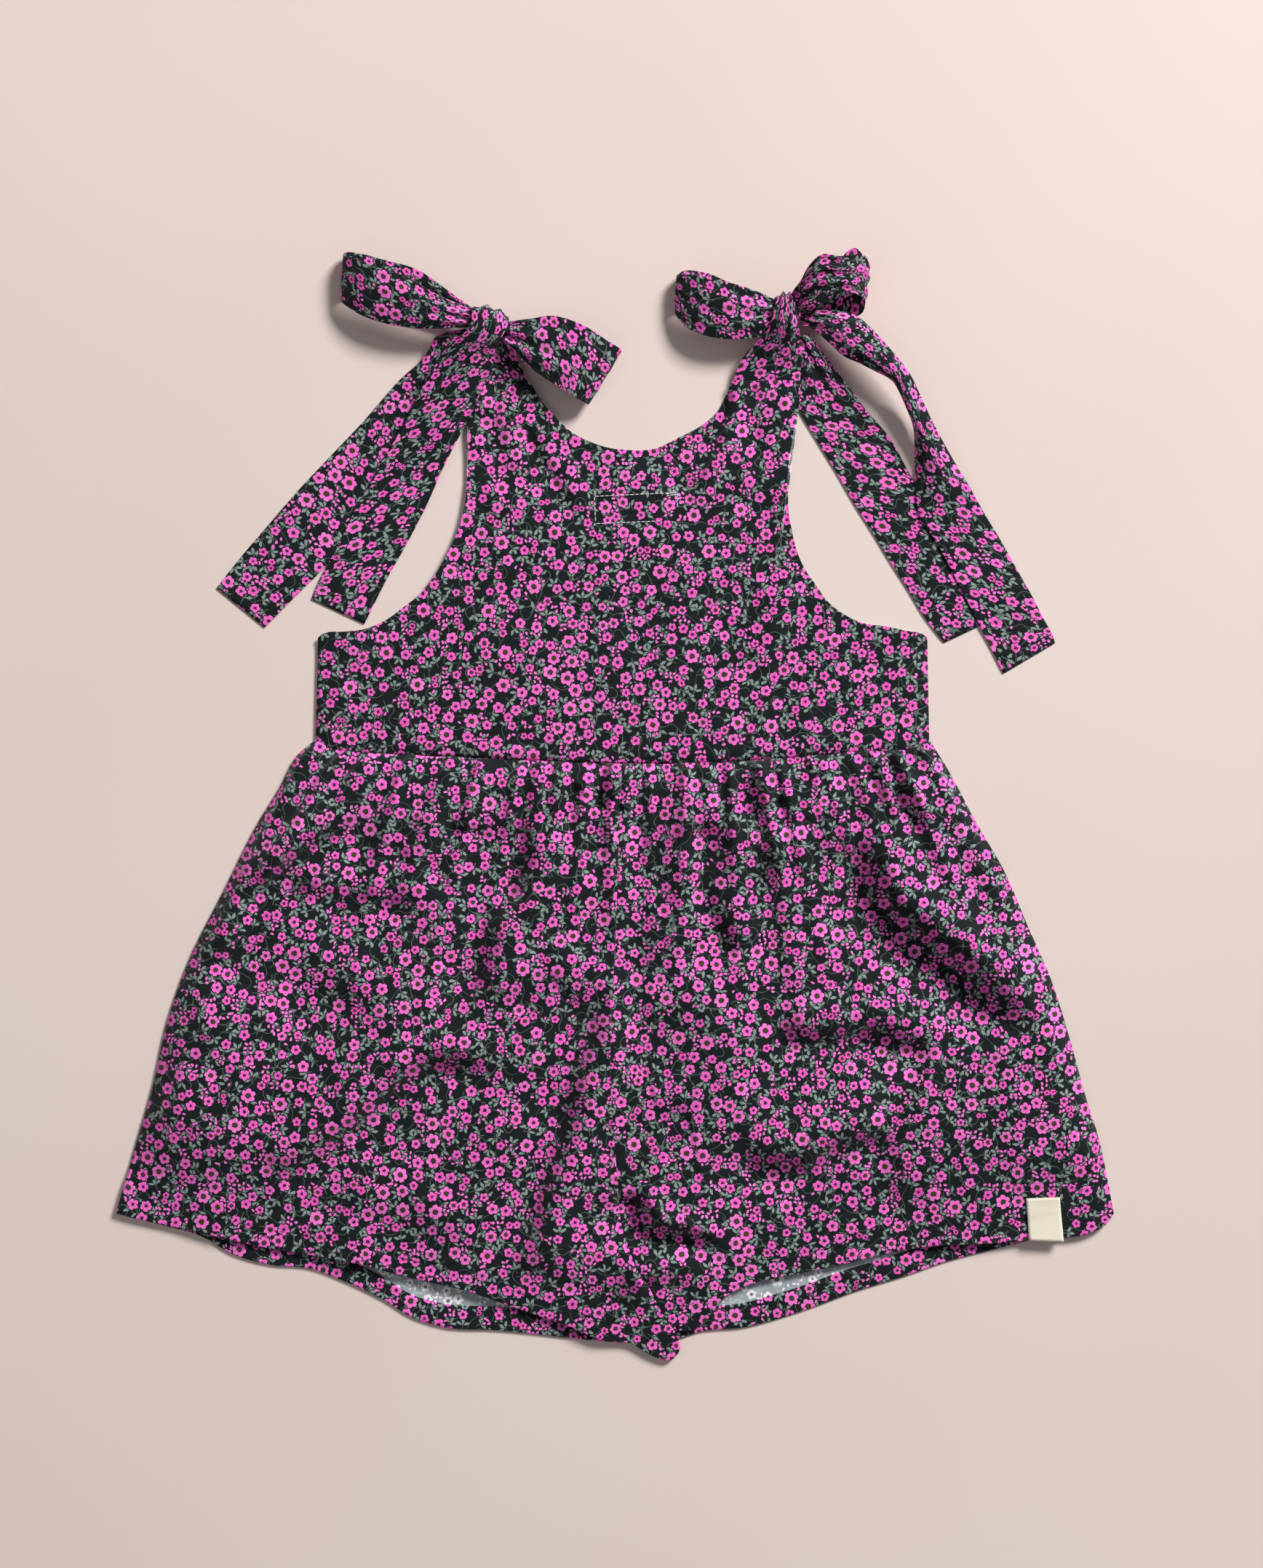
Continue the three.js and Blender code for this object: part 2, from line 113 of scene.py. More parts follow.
def ripple(x: Array, y: Array, wavelength: float, seed: int, waves: int = 7) -> Array:
    """Give an uneven surface between about -1 and 1: a few sine waves of random headings and phases,
    added.
    """
    dice = np.random.default_rng(seed)
    total = np.zeros_like(x)
    for _ in range(waves):
        heading, phase = dice.uniform(0, 2 * math.pi, 2)
        k = 2 * math.pi / (wavelength * dice.uniform(0.7, 1.5))
        total += np.sin(k * (x * math.cos(heading) + y * math.sin(heading)) + phase)
    return total / math.sqrt(waves)


@dataclass(frozen=True)
class Crease:
    """A fold: the cloth drops along a line, steeply, and recovers slowly beyond it."""

    stations: Rows
    drop: float
    steep: float = 3.5
    recover: float = 22.0
    crest: float = 0.55
    side: int = 0

    def height(self, x: Array, y: Array) -> Array:
        """Give the fold's height: its depth times a rounded crest before the line, less a sigmoid that
        fades beyond it.

        Args:
            x: places across.
            y: places along.

        Returns:
            Millimetres to add at each place.
        """
        line = Line(self.stations, per_span=5).points
        nearest = np.full(x.shape, np.inf)
        signed = np.zeros_like(x)
        along = np.zeros_like(x)
        chord = line[-1] - line[0]
        turn = self.side if self.side else (1 if chord @ np.array([-0.9, 0.45]) > 0 else -1)
        spans = len(line) - 1
        for i, (p, q) in enumerate(zip(line[:-1], line[1:])):
            d = q - p
            t = np.clip(((x - p[0]) * d[0] + (y - p[1]) * d[1]) / max(d @ d, 1e-9), 0, 1)
            dx, dy = x - p[0] - t * d[0], y - p[1] - t * d[1]
            off = np.hypot(dx, dy)
            n = np.array([-d[1], d[0]]) / max(np.hypot(*d), 1e-9)
            closer = off < nearest
            nearest = np.where(closer, off, nearest)
            signed = np.where(closer, turn * (dx * n[0] + dy * n[1]), signed)
            along = np.where(closer, (i + t) / spans, along)
        across = np.where(signed < 0, -1, 1) * nearest
        fade = smooth(along / 0.16) * smooth((1 - along) / 0.24)
        fall = 1 / (1 + np.exp(-np.clip(FOLD_CRISPNESS * across / self.steep, -30, 30)))
        tail = np.exp(-np.maximum(across, 0) / self.recover)
        crest = self.crest * np.exp(-(((across + 2.4 * self.steep) / (0.45 * self.recover)) ** 2))
        return FOLD_DEPTH * self.drop * fade * (crest - fall * tail)


@dataclass(frozen=True)
class Swell:
    """A soft ridge, or a trough where its rise is below zero, of Gaussian section."""

    stations: Rows
    rise: float
    reach: float = 14.0

    def height(self, x: Array, y: Array) -> Array:
        """Give the ridge's height: rise times exp(-(distance / reach) squared), fading at both ends."""
        line = Line(self.stations, per_span=6).points
        nearest = np.full(x.shape, np.inf)
        for p, q in zip(line[:-1], line[1:]):
            d = q - p
            t = np.clip(((x - p[0]) * d[0] + (y - p[1]) * d[1]) / max(d @ d, 1e-9), 0, 1)
            nearest = np.minimum(nearest, np.hypot(x - p[0] - t * d[0], y - p[1] - t * d[1]))
        return self.rise * np.exp(-((nearest / self.reach) ** 2))


@dataclass(frozen=True)
class Patch:
    """A flat panel's plan between four edge lines, blended as a Coons patch."""

    top: Line
    bottom: Line
    left: Line
    right: Line

    def at(self, u: Array, v: Array) -> Array:
        """Give plan points: opposite edges blended both ways, less the blend of the four corners."""
        u, v = u[..., None], v[..., None]
        edges = (1 - v) * self.top.at(u[..., 0]) + v * self.bottom.at(u[..., 0])
        edges += (1 - u) * self.left.at(v[..., 0]) + u * self.right.at(v[..., 0])
        tl, tr = self.top.at(0.0), self.top.at(1.0)
        bl, br = self.bottom.at(0.0), self.bottom.at(1.0)
        return edges - (1 - u) * (1 - v) * tl - u * (1 - v) * tr - (1 - u) * v * bl - u * v * br


def cloth_uv(points: Array, origin: tuple[float, float]) -> Array:
    """Lay a surface's points out flat, in millimetres of cloth: its plan, moved to where it was cut."""
    return points[..., :2] + np.array(origin)


def surface_object(name: str, points: Array, uv: Array, slots: Sequence[bpy.types.Material],
    closed: bool = False) -> bpy.types.Object:
    """Make an object from a grid of points.

    Args:
        name: the piece's name.
        points: rows by columns by three, in millimetres.
        uv: rows by columns by two, in millimetres of cloth; one more column than points where closed.
        slots: the materials of the right side and the wrong side.
        closed: whether the last column joins the first.

    Returns:
        The object, smooth shaded, its faces' upper side the one that rows down and columns right give.
    """
    rows, cols = points.shape[:2]
    spans = cols if closed else cols - 1
    r, c = np.meshgrid(np.arange(rows - 1), np.arange(spans), indexing="ij")
    r, c = r.ravel(), c.ravel()
    corners = [(r, c), (r + 1, c), (r + 1, c + 1), (r, c + 1)]
    faces = np.stack([row * cols + col % cols for row, col in corners], axis=1)
    mesh = bpy.data.meshes.new(name)
    mesh.from_pydata((points.reshape(-1, 3) * MM).tolist(), [], faces.tolist())
    layer = mesh.uv_layers.new(name="cloth")
    flat = np.stack([uv[row, col] for row, col in corners], axis=1).reshape(-1, 2) * MM
    layer.data.foreach_set("uv", flat.astype(np.float32).ravel())
    mesh.polygons.foreach_set("use_smooth", np.ones(len(mesh.polygons), bool))
    for material in slots:
        mesh.materials.append(material)
    mesh.update()
    made = bpy.data.objects.new(name + "_cloth", mesh)
    bpy.context.scene.collection.objects.link(made)
    return made


def close_shell(obj: bpy.types.Object) -> None:
    """Merge the points that meet at a shell's ends and turn its faces outwards."""
    work = bmesh.new()
    work.from_mesh(obj.data)
    bmesh.ops.remove_doubles(work, verts=work.verts, dist=1e-6)
    bmesh.ops.recalc_face_normals(work, faces=work.faces)
    work.to_mesh(obj.data)
    work.free()


def thicken(obj: bpy.types.Object, wall: float) -> None:
    """Give an open cloth surface its thickness, the wrong side taking the second material."""
    solid = obj.modifiers.new("cloth thickness", "SOLIDIFY")
    solid.thickness = wall * MM
    solid.offset = 0.0
    solid.use_rim = True
    solid.material_offset = 1


def declare(obj: bpy.types.Object, nodes: Sequence[str]) -> bpy.types.Object:
    """Ride a piece on the garment, hide the solids it stands for, and log it."""
    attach(obj, "root")
    if nodes:
        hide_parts(*nodes)
    LOG.info("made %s: %d points", obj.name, len(obj.data.vertices))
    return obj


# ---------------------------------------------------------------- materials


def linear(code: str) -> tuple[float, float, float, float]:
    """Turn an sRGB hex value into linear red, green, blue and alpha."""
    parts = [int(code.lstrip("#")[i : i + 2], 16) / 255 for i in (0, 2, 4)]
    r, g, b = (p / 12.92 if p <= 0.04045 else ((p + 0.055) / 1.055) ** 2.4 for p in parts)
    return r, g, b, 1.0


def node(tree: bpy.types.NodeTree, kind: str, inputs: Any = (), **settings: Any) -> bpy.types.Node:
    """Add a node with its settings, and set or link its inputs.

    Args:
        tree: the material's node tree.
        kind: the node's type without its ShaderNode prefix.
        inputs: values or sockets, in order or by name or number; None leaves an input alone.
        **settings: the node's own properties.

    Returns:
        The node.
    """
    made = tree.nodes.new("ShaderNode" + kind)
    for key, value in settings.items():
        setattr(made, key, value)
    for key, value in inputs.items() if isinstance(inputs, dict) else enumerate(inputs):
        if isinstance(value, bpy.types.NodeSocket):
            tree.links.new(value, made.inputs[key])
        elif value is not None:
            made.inputs[key].default_value = value
    return made


class Face(Enum):
    """The two sides of printed cloth."""

    RIGHT = "right side"
    WRONG = "wrong side"


@dataclass(frozen=True)
class PrintedPoplin:
    """Cotton poplin, plain woven, screen printed with small flowers: matt, with a faint dry sheen.

    The ink lies on the right side; on the wrong side the white yarn shows through it, so it is greyed and
    pale. The wrong side's ground and leaves are set lighter still than that: painted light over the whole
    wrong side, lifting the strip that lies in shade under the back hems.
    """

    ground: str = "#0d171a"
    petal: str = "#ff88e0"
    petal_deep: str = "#fb5cc8"
    leaf: str = "#8b9d99"
    stem: str = "#5d6d68"
    eye: str = "#25303f"
    eye_large: str = "#3c4020"
    # painted light: the wrong side's ground and leaves are paler than the cloth's own wrong side, to lift its
    # shade
    wrong_ground_painted_light: str = "#a3b0b5"
    wrong_petal: str = "#fbf8ff"
    wrong_leaf_painted_light: str = "#c0cbce"
    wrong_eye: str = "#6a7478"
    roughness: float = 0.82
    flower_cell: float = 8.3
    large_reach: float = 3.5
    small_reach: float = 1.9
    sprig_cell: float = 6.4
    bud_cell: float = 2.15

    def dress(self, face: Face) -> bpy.types.Material:
        """Make the material of one side of the cloth.

        Args:
            face: which side it is for.

        Returns:
            The material. Its pattern is read from the map named cloth, in real millimetres.
        """
        wrong = face is Face.WRONG
        material = bpy.data.materials.new(f"printed cotton poplin, {face.value}")
        material.use_nodes = True
        tree = material.node_tree
        tree.nodes.clear()
        add = partial(node, tree)
        flat = add("UVMap", uv_map="cloth").outputs[0]
        place = add("VectorMath", (flat, (1000, 1000, 0)), operation="MULTIPLY").outputs[0]
        tremor = add("TexNoise", {"Vector": place, "Scale": 0.9, "Detail": 1.0},
            noise_dimensions="2D").outputs["Color"]
        tremor = add("VectorMath", (tremor, (0.5, 0.5, 0.5)), operation="SUBTRACT").outputs[0]
        drawn = add("VectorMath", (tremor, (0.9, 0.9, 0.0), place), operation="MULTIPLY_ADD").outputs[0]

        petals, halo, eyes, rings, large, tint = self._flowers(add, drawn)
        leaves, stalks = self._sprigs(add, drawn)
        buds, bud_halo = self._buds(add, drawn)
        vines = self._vines(add, place)

        # the wrong side takes ground and leaf colours with painted light in them
        ground, petal, deep, leaf, stem, eye, eye_large = (
            (self.wrong_ground_painted_light, self.wrong_petal, self.wrong_petal, self.wrong_leaf_painted_light, self.wrong_leaf_painted_light,
                self.wrong_eye, self.wrong_eye)
            if wrong
            else (self.ground, self.petal, self.petal_deep, self.leaf, self.stem, self.eye, self.eye_large)
        )
        ink = add("Mix", {0: tint, 6: linear(petal), 7: linear(deep)}, data_type="RGBA").outputs[2]
        middle = add("Mix", {0: large, 6: linear(eye), 7: linear(eye_large)}, data_type="RGBA").outputs[2]
        colour: Any = linear(ground)
        layers = (
            (vines, linear(stem)),
            (stalks, linear(stem)),
            (leaves, linear(leaf)),
            (bud_halo, linear(ground)),
            (buds, ink),
            (halo, linear(ground)),
            (petals, ink),
            (rings, linear(ground)),
            (eyes, middle),
        )
        for mask, over in layers:
            colour = add("Mix", {0: mask, 6: colour, 7: over}, data_type="RGBA").outputs[2]

        # Poplin's threads are 0.25 mm apart, too fine to show; the bump is drawn at 0.9 mm so that it
        # reads as cloth.
        weave = add("TexNoise", {"Vector": place, "Scale": 1.1, "Detail": 2.0, "Roughness": 0.6},
            noise_dimensions="2D").outputs[0]
        slub = add("TexNoise", {"Vector": place, "Scale": 0.16, "Detail": 2.0},
            noise_dimensions="2D").outputs[0]
        relief = add("Math", (slub, 3.0, weave), operation="MULTIPLY_ADD").outputs[0]
        bump = add("Bump", {"Height": relief, "Strength": 0.5, "Distance": 0.00022}).outputs[0]
        shader = add(
            "BsdfPrincipled",
            {
                "Base Color": colour,
                "Roughness": self.roughness,
                "Specular IOR Level": 0.22,
                "Sheen Weight": 0.12,
                "Sheen Roughness": 0.5,
                "Normal": bump,
            },
        ).outputs[0]
        add("OutputMaterial", (shader,))
        return material

    def _flowers(self, add: Callable[..., bpy.types.Node], place: bpy.types.NodeSocket) -> tuple[Any, ...]:
        """Draw one flower in each cell of an uneven lattice.

        A petal's edge stands at radius times (0.6 + 0.42 |cos(n angle / 2)| to the 0.45), for n petals,
        and no
        flower over 1.25 mm reaches past the circle that clears its neighbours.

        Args:
            add: adds a node to the tree.
            place: the place on the cloth, in millimetres.

        Returns:
            Masks of the petals, the bare ground round them, the eyes and the dark rings, whether a flower is
            a large one, and each flower's tint.
        """
        cell = self.flower_cell
        spread = {"Vector": place, "Scale": 1 / cell, "Randomness": 0.78}
        lattice = add("TexVoronoi", spread, voronoi_dimensions="2D")
        clear = add("TexVoronoi", spread, voronoi_dimensions="2D",
            feature="N_SPHERE_RADIUS").outputs["Radius"]
        heart = lattice.outputs["Position"]
        dice = add("SeparateColor", (add("TexWhiteNoise", {"Vector": heart},
            noise_dimensions="2D").outputs["Color"],))
        grove = add("TexNoise", {"Vector": heart, "Scale": 1 / 19, "Detail": 0.0},
            noise_dimensions="2D").outputs[0]
        large = add("Math", (grove, 0.585), operation="GREATER_THAN").outputs[0]
        offset = add("VectorMath", (place, heart), operation="SUBTRACT")
        parts = add("SeparateXYZ", (offset.outputs[0],))
        radius = add("VectorMath", (offset.outputs[0],), operation="LENGTH").outputs["Value"]
        angle = add("Math", (parts.outputs[1], parts.outputs[0]), operation="ARCTAN2").outputs[0]
        turned = add("Math", (dice.outputs[0], 6.283, angle), operation="MULTIPLY_ADD").outputs[0]
        petals_half = add("Math", (large, 0.5, 2.5), operation="MULTIPLY_ADD").outputs[0]
        lobe = add("Math", (turned, petals_half), operation="MULTIPLY").outputs[0]
        lobe = add("Math", (add("Math", (lobe,), operation="COSINE").outputs[0],),
            operation="ABSOLUTE").outputs[0]
        lobe = add("Math", (lobe, 0.45), operation="POWER").outputs[0]
        reach = add("Math", (dice.outputs[1], 1.0, self.small_reach), operation="MULTIPLY_ADD").outputs[0]
        reach = add("Mix", {0: large, 2: reach, 3: self.large_reach}, data_type="FLOAT").outputs[0]
        room = add("Math", (clear, cell * 0.98), operation="MULTIPLY").outputs[0]
        reach = add("Math", (reach, room), operation="MINIMUM").outputs[0]
        reach = add("Math", (reach, 1.25), operation="MAXIMUM").outputs[0]
        shape = add("Math", (lobe, 0.42, 0.60), operation="MULTIPLY_ADD").outputs[0]
        inside = add("Math", (reach, shape), operation="MULTIPLY").outputs[0]
        inside = add("Math", (inside, radius), operation="SUBTRACT").outputs[0]
        petals = add("MapRange", (inside, -0.1, 0.1, 0.0, 1.0)).outputs[0]
        halo = add("MapRange", (inside, -0.75, -0.45, 0.0, 1.0)).outputs[0]
        core = add("Mix", {0: large, 2: 0.23, 3: 0.33}, data_type="FLOAT").outputs[0]
        core = add("Math", (reach, core), operation="MULTIPLY").outputs[0]
        core = add("Math", (core, radius), operation="SUBTRACT").outputs[0]
        eyes = add("MapRange", (core, -0.1, 0.15, 0.0, 1.0)).outputs[0]
        rings = add("MapRange", (core, -0.32, -0.12, 0.0, 1.0)).outputs[0]
        tint = add("MapRange", (radius, 2.6, 0.9, 0.0, 0.85)).outputs[0]
        tint = add("Math", (dice.outputs[2], 0.35, tint), operation="MULTIPLY_ADD", use_clamp=True).outputs[0]
        return petals, halo, eyes, rings, large, tint

    def _sprigs(self, add: Callable[..., bpy.types.Node], place: bpy.types.NodeSocket) -> tuple[Any, Any]:
        """Draw fans of three pointed leaves on a short stalk.

        A leaf is where the distance off its axis is less than 0.68 (1 - ((along - 2.15) / 1.7) squared).

        Args:
            add: adds a node to the tree.
            place: the place on the cloth, in millimetres.

        Returns:
            Masks of the leaves and the stalks.
        """
        lattice = add("TexVoronoi", {"Vector": place, "Scale": 1 / self.sprig_cell, "Randomness": 0.9},
            voronoi_dimensions="2D")
        foot = lattice.outputs["Position"]
        spin = add("TexWhiteNoise", {"Vector": foot}, noise_dimensions="2D").outputs["Value"]
        offset = add("VectorMath", (place, foot), operation="SUBTRACT")
        parts = add("SeparateXYZ", (offset.outputs[0],))
        radius = add("VectorMath", (offset.outputs[0],), operation="LENGTH").outputs["Value"]
        angle = add("Math", (parts.outputs[1], parts.outputs[0]), operation="ARCTAN2").outputs[0]
        angle = add("Math", (spin, 6.283, angle), operation="MULTIPLY_ADD").outputs[0]
        angle = add("Math", (angle, math.pi, -math.pi), operation="WRAP").outputs[0]
        angle = add("Math", (angle,), operation="ABSOLUTE").outputs[0]
        beside = add("Math", (angle, 1.05), operation="SUBTRACT").outputs[0]
        beside = add("Math", (beside,), operation="ABSOLUTE").outputs[0]
        axis = add("Math", (angle, beside), operation="MINIMUM").outputs[0]
        along = add("Math", (radius, add("Math", (axis,), operation="COSINE").outputs[0]),
            operation="MULTIPLY").outputs[0]
        off = add("Math", (radius, add("Math", (axis,), operation="SINE").outputs[0]),
            operation="MULTIPLY").outputs[0]
        bow = add("Math", (add("Math", (along, 2.15), operation="SUBTRACT").outputs[0], 1.7),
            operation="DIVIDE").outputs[0]
        bow = add("Math", (bow, bow), operation="MULTIPLY").outputs[0]
        half = add("Math", (bow, -0.68, 0.68), operation="MULTIPLY_ADD").outputs[0]
        inside = add("Math", (half, off), operation="SUBTRACT").outputs[0]
        leaves = add("MapRange", (inside, -0.08, 0.08, 0.0, 1.0)).outputs[0]
        back = add("Math", (radius, add("Math", (angle,), operation="COSINE").outputs[0]),
            operation="MULTIPLY").outputs[0]
        side = add("Math", (radius, add("Math", (angle,), operation="SINE").outputs[0]),
            operation="MULTIPLY").outputs[0]
        thin = add("MapRange", (side, 0.22, 0.1, 0.0, 1.0)).outputs[0]
        ends = add("Math", (add("Math", (back, 0.7), operation="ADD").outputs[0],),
            operation="ABSOLUTE").outputs[0]
        stalk = add("Math", (ends, 1.6), operation="LESS_THAN").outputs[0]
        return leaves, add("Math", (thin, stalk), operation="MULTIPLY").outputs[0]

    def _buds(self, add: Callable[..., bpy.types.Node], place: bpy.types.NodeSocket) -> tuple[Any, Any]:
        """Draw small drops in loose clusters.

        A drop is an ellipse about 1.7 by 1.1 mm; a cluster is where a slow noise stands above its threshold.

        Args:
            add: adds a node to the tree.
            place: the place on the cloth, in millimetres.

        Returns:
            Masks of the drops and of the bare ground round them.
        """
        lattice = add("TexVoronoi", {"Vector": place, "Scale": 1 / self.bud_cell, "Randomness": 0.55},
            voronoi_dimensions="2D")
        heart = lattice.outputs["Position"]
        cluster = add("TexNoise", {"Vector": heart, "Scale": 1 / 6.5, "Detail": 0.0},
            noise_dimensions="2D").outputs[0]
        there = add("Math", (cluster, 0.64), operation="GREATER_THAN").outputs[0]
        heading = add("TexNoise", {"Vector": heart, "Scale": 1 / 11, "Detail": 0.0},
            noise_dimensions="2D").outputs[0]
        heading = add("Math", (heading, 14.0), operation="MULTIPLY").outputs[0]
        offset = add("VectorMath", (place, heart), operation="SUBTRACT").outputs[0]
        offset = add("VectorRotate", {"Vector": offset, "Angle": heading}, rotation_type="Z_AXIS").outputs[0]
        offset = add("VectorMath", (offset, (1 / 0.88, 1 / 0.56, 1.0)), operation="MULTIPLY").outputs[0]
        inside = add("VectorMath", (offset,), operation="LENGTH").outputs["Value"]
        drop = add("MapRange", (inside, 1.12, 0.9, 0.0, 1.0)).outputs[0]
        bare = add("MapRange", (inside, 1.75, 1.45, 0.0, 1.0)).outputs[0]
        drop = add("Math", (drop, there), operation="MULTIPLY").outputs[0]
        return drop, add("Math", (bare, there), operation="MULTIPLY").outputs[0]

    def _vines(self, add: Callable[..., bpy.types.Node], place: bpy.types.NodeSocket) -> Any:
        """Draw fine wandering stems: where a slow noise crosses its middle value, within 0.012."""
        field_ = add("TexNoise", {"Vector": place, "Scale": 1 / 9, "Detail": 0.0},
            noise_dimensions="2D").outputs[0]
        off = add("Math", (field_, 0.5), operation="SUBTRACT").outputs[0]
        off = add("Math", (off,), operation="ABSOLUTE").outputs[0]
        return add("MapRange", (off, 0.013, 0.007, 0.0, 1.0)).outputs[0]


@dataclass(frozen=True)
class PlainFinish:
    """A plain finish with a fine grain: its bump and a slow change of tone keep it from looking flat."""

    name: str
    colour: str
    second: str
    roughness: float
    grain: float
    relief: float
    drift: float = 60.0

    def dress(self) -> bpy.types.Material:
        """Make the material, its grain in millimetres of the object's own coordinates."""
        material = bpy.data.materials.new(self.name)
        material.use_nodes = True
        tree = material.node_tree
        tree.nodes.clear()
        add = partial(node, tree)
        here = add("TexCoord").outputs["Object"]
        grain = add("TexNoise", {"Vector": here, "Scale": 1000 / self.grain, "Detail": 2.0}).outputs[0]
        slow = add("TexNoise", {"Vector": here, "Scale": 1000 / self.drift, "Detail": 1.0}).outputs[0]
        tone = add("Mix", {0: slow, 6: linear(self.colour), 7: linear(self.second)},
            data_type="RGBA").outputs[2]
        bump = add("Bump", {"Height": grain, "Strength": 0.6, "Distance": self.relief * MM}).outputs[0]
        surface = {"Base Color": tone, "Roughness": self.roughness, "Specular IOR Level": 0.3, "Normal": bump}
        shader = add("BsdfPrincipled", surface).outputs[0]
        add("OutputMaterial", (shader,))
        return material


# A woven cotton tape is close, soft and off white; sewing thread is a twisted cord that catches the light.
CREAM_TAPE = PlainFinish("woven cotton tape, cream", "#f6f3df", "#efe9d2", 0.75, 0.7, 0.12)
WHITE_THREAD = PlainFinish("polyester sewing thread, white", "#e9e6ee", "#d8d5e2", 0.55, 0.6, 0.05)
DARK_THREAD = PlainFinish("polyester sewing thread, dark green", "#1b2628", "#10191b", 0.6, 0.6, 0.05)
PALE_BOARD = PlainFinish("painted board, pale", "#ece2dd", "#e9d8cd", 0.7, 1.6, 0.03, 240.0)


# ---------------------------------------------------------------- outlines, shared by the panels

WAIST_LEFT: Rows = ((-147.0, 32.0), (-140.5, 28.2), (-124.0, 25.6), (-97.6, 24.3), (-55.8, 22.2), (3.2, 20.0))
WAIST_RIGHT: Rows = ((3.2, 20.0), (63.6, 21.4), (92.2, 23.6), (118.3, 26.1), (145.9, 28.2), (154.0, 32.0))
LEFT_SIDE: Rows = (
    (-147.0, 32.0), (-156.2, 24.0), (-163.7, 10.0), (-175.2, -8.9), (-190.9, -40.0), (-209.9, -78.3),
    (-219.5, -105.5), (-227.4, -140.1), (-235.2, -167.0), (-244.9, -200.2),
)
RIGHT_SIDE: Rows = (
    (154.0, 32.0), (163.7, 16.1), (177.0, -8.9), (190.5, -32.2), (202.0, -59.0), (213.8, -86.2),
    (223.4, -116.9), (230.9, -144.1), (236.7, -162.3), (244.3, -200.2),
)
CENTRE_SEAM: Rows = (
    (3.2, 20.0), (0.4, -55.1), (-2.5, -133.7), (-0.4, -176.6), (1.4, -202.3), (5.0, -213.1), (9.7, -225.2),
    (15.7, -234.9), (21.8, -247.0), (28.2, -256.7),
)
FRONT_CENTRE: Rows = ((3.2, 20.0), (0.7, -100.0), (0.7, -176.6), (5.0, -212.4), (21.1, -264.0))
BACK_HEM_LEFT: Rows = (
    (-244.9, -200.2), (-230.9, -203.8), (-213.8, -207.3), (-194.5, -211.6), (-169.1, -217.4), (-148.4,
        -220.6),
    (-120.8, -225.9), (-106.2, -230.2), (-87.9, -234.5), (-70.1, -238.8), (-53.3, -244.9), (-33.6, -251.7),
    (-19.3, -256.7), (-8.2, -261.6), (8.0, -264.2), (19.0, -270.5), (27.0, -272.4), (31.2, -268.0), (28.2,
        -256.7),
)
BACK_HEM_RIGHT: Rows = (
    (28.2, -256.7), (36.0, -258.0), (46.5, -251.0), (52.2, -242.5), (61.8, -236.7), (82.2, -231.3), (103.0,
        -227.0),
    (118.7, -223.4), (138.4, -218.8), (158.0, -215.9), (179.8, -214.9), (203.1, -213.4), (219.5, -212.0),
    (233.4, -209.5), (240.0, -205.9), (244.3, -200.2),
)
FRONT_HEM_LEFT: Rows = (
    (-244.9, -200.2), (-222.4, -206.3), (-205.2, -210.9), (-185.9, -221.3), (-168.0, -225.9), (-150.9,
        -227.4),
    (-133.0, -233.8), (-114.8, -242.4), (-99.0, -252.0), (-84.4, -256.3), (-59.3, -257.8), (-37.5, -259.9),
    (-19.3, -262.0), (1.4, -263.8), (21.1, -264.0),
)
FRONT_HEM_RIGHT: Rows = (
    (21.1, -264.0), (31.5, -262.0), (41.1, -258.8), (64.0, -256.3), (89.4, -249.2), (117.6, -238.8), (141.6,
        -231.3),
    (162.3, -224.2), (188.8, -217.4), (203.1, -213.9), (219.5, -212.7), (233.4, -209.9), (240.0,
        -205.9), (244.3, -200.2),
)
ARMHOLE_LEFT: Rows = (
    (-145.9, 82.0), (-143.5, 83.9), (-133.1, 84.9), (-123.7, 86.0), (-113.2, 90.2), (-103.8, 97.0), (-96.4,
        102.8),
    (-89.1, 111.7), (-81.8, 124.3), (-77.6, 133.7), (-74.9, 142.1), (-72.6, 163.0), (-72.3, 190.2), (-71.0,
        207.7),
)
ARMHOLE_RIGHT: Rows = (
    (90.4, 207.7), (90.1, 198.4), (87.6, 185.2), (85.0, 168.7), (84.7, 154.8), (84.9, 144.1), (86.5, 134.8),
    (89.0, 124.4), (92.8, 115.8), (98.5, 107.6), (104.7, 99.0), (112.3, 93.3), (121.5, 89.0), (132.1, 87.6),
    (142.6, 85.3), (150.8, 83.6), (153.0, 82.0),
)
BACK_NECK: Rows = (
    (-42.2, 207.7), (-35.8, 197.3), (-30.7, 191.3), (-25.7, 186.3), (-20.4, 182.0), (-14.3, 178.9), (-8.2,
        176.4),
    (-2.1, 174.8), (5.4, 174.0), (19.3, 174.8), (31.5, 180.5), (38.8, 184.1), (46.1, 189.1), (51.1, 194.3),
    (54.2, 200.6), (57.2, 207.7),
)
FRONT_NECK: Rows = (
    (-44.0, 207.7), (-36.0, 184.0), (-16.0, 163.0), (7.0, 158.0), (30.0, 163.0), (50.0, 184.0), (60.0, 207.7),
)


# ---------------------------------------------------------------- the legs


LEG_CUT_AT = {
    "back_left_leg": (0, 300),
    "back_right_leg": (3, 307),
    "front_left_leg": (411, 90),
    "front_right_leg": (640, 77),
}


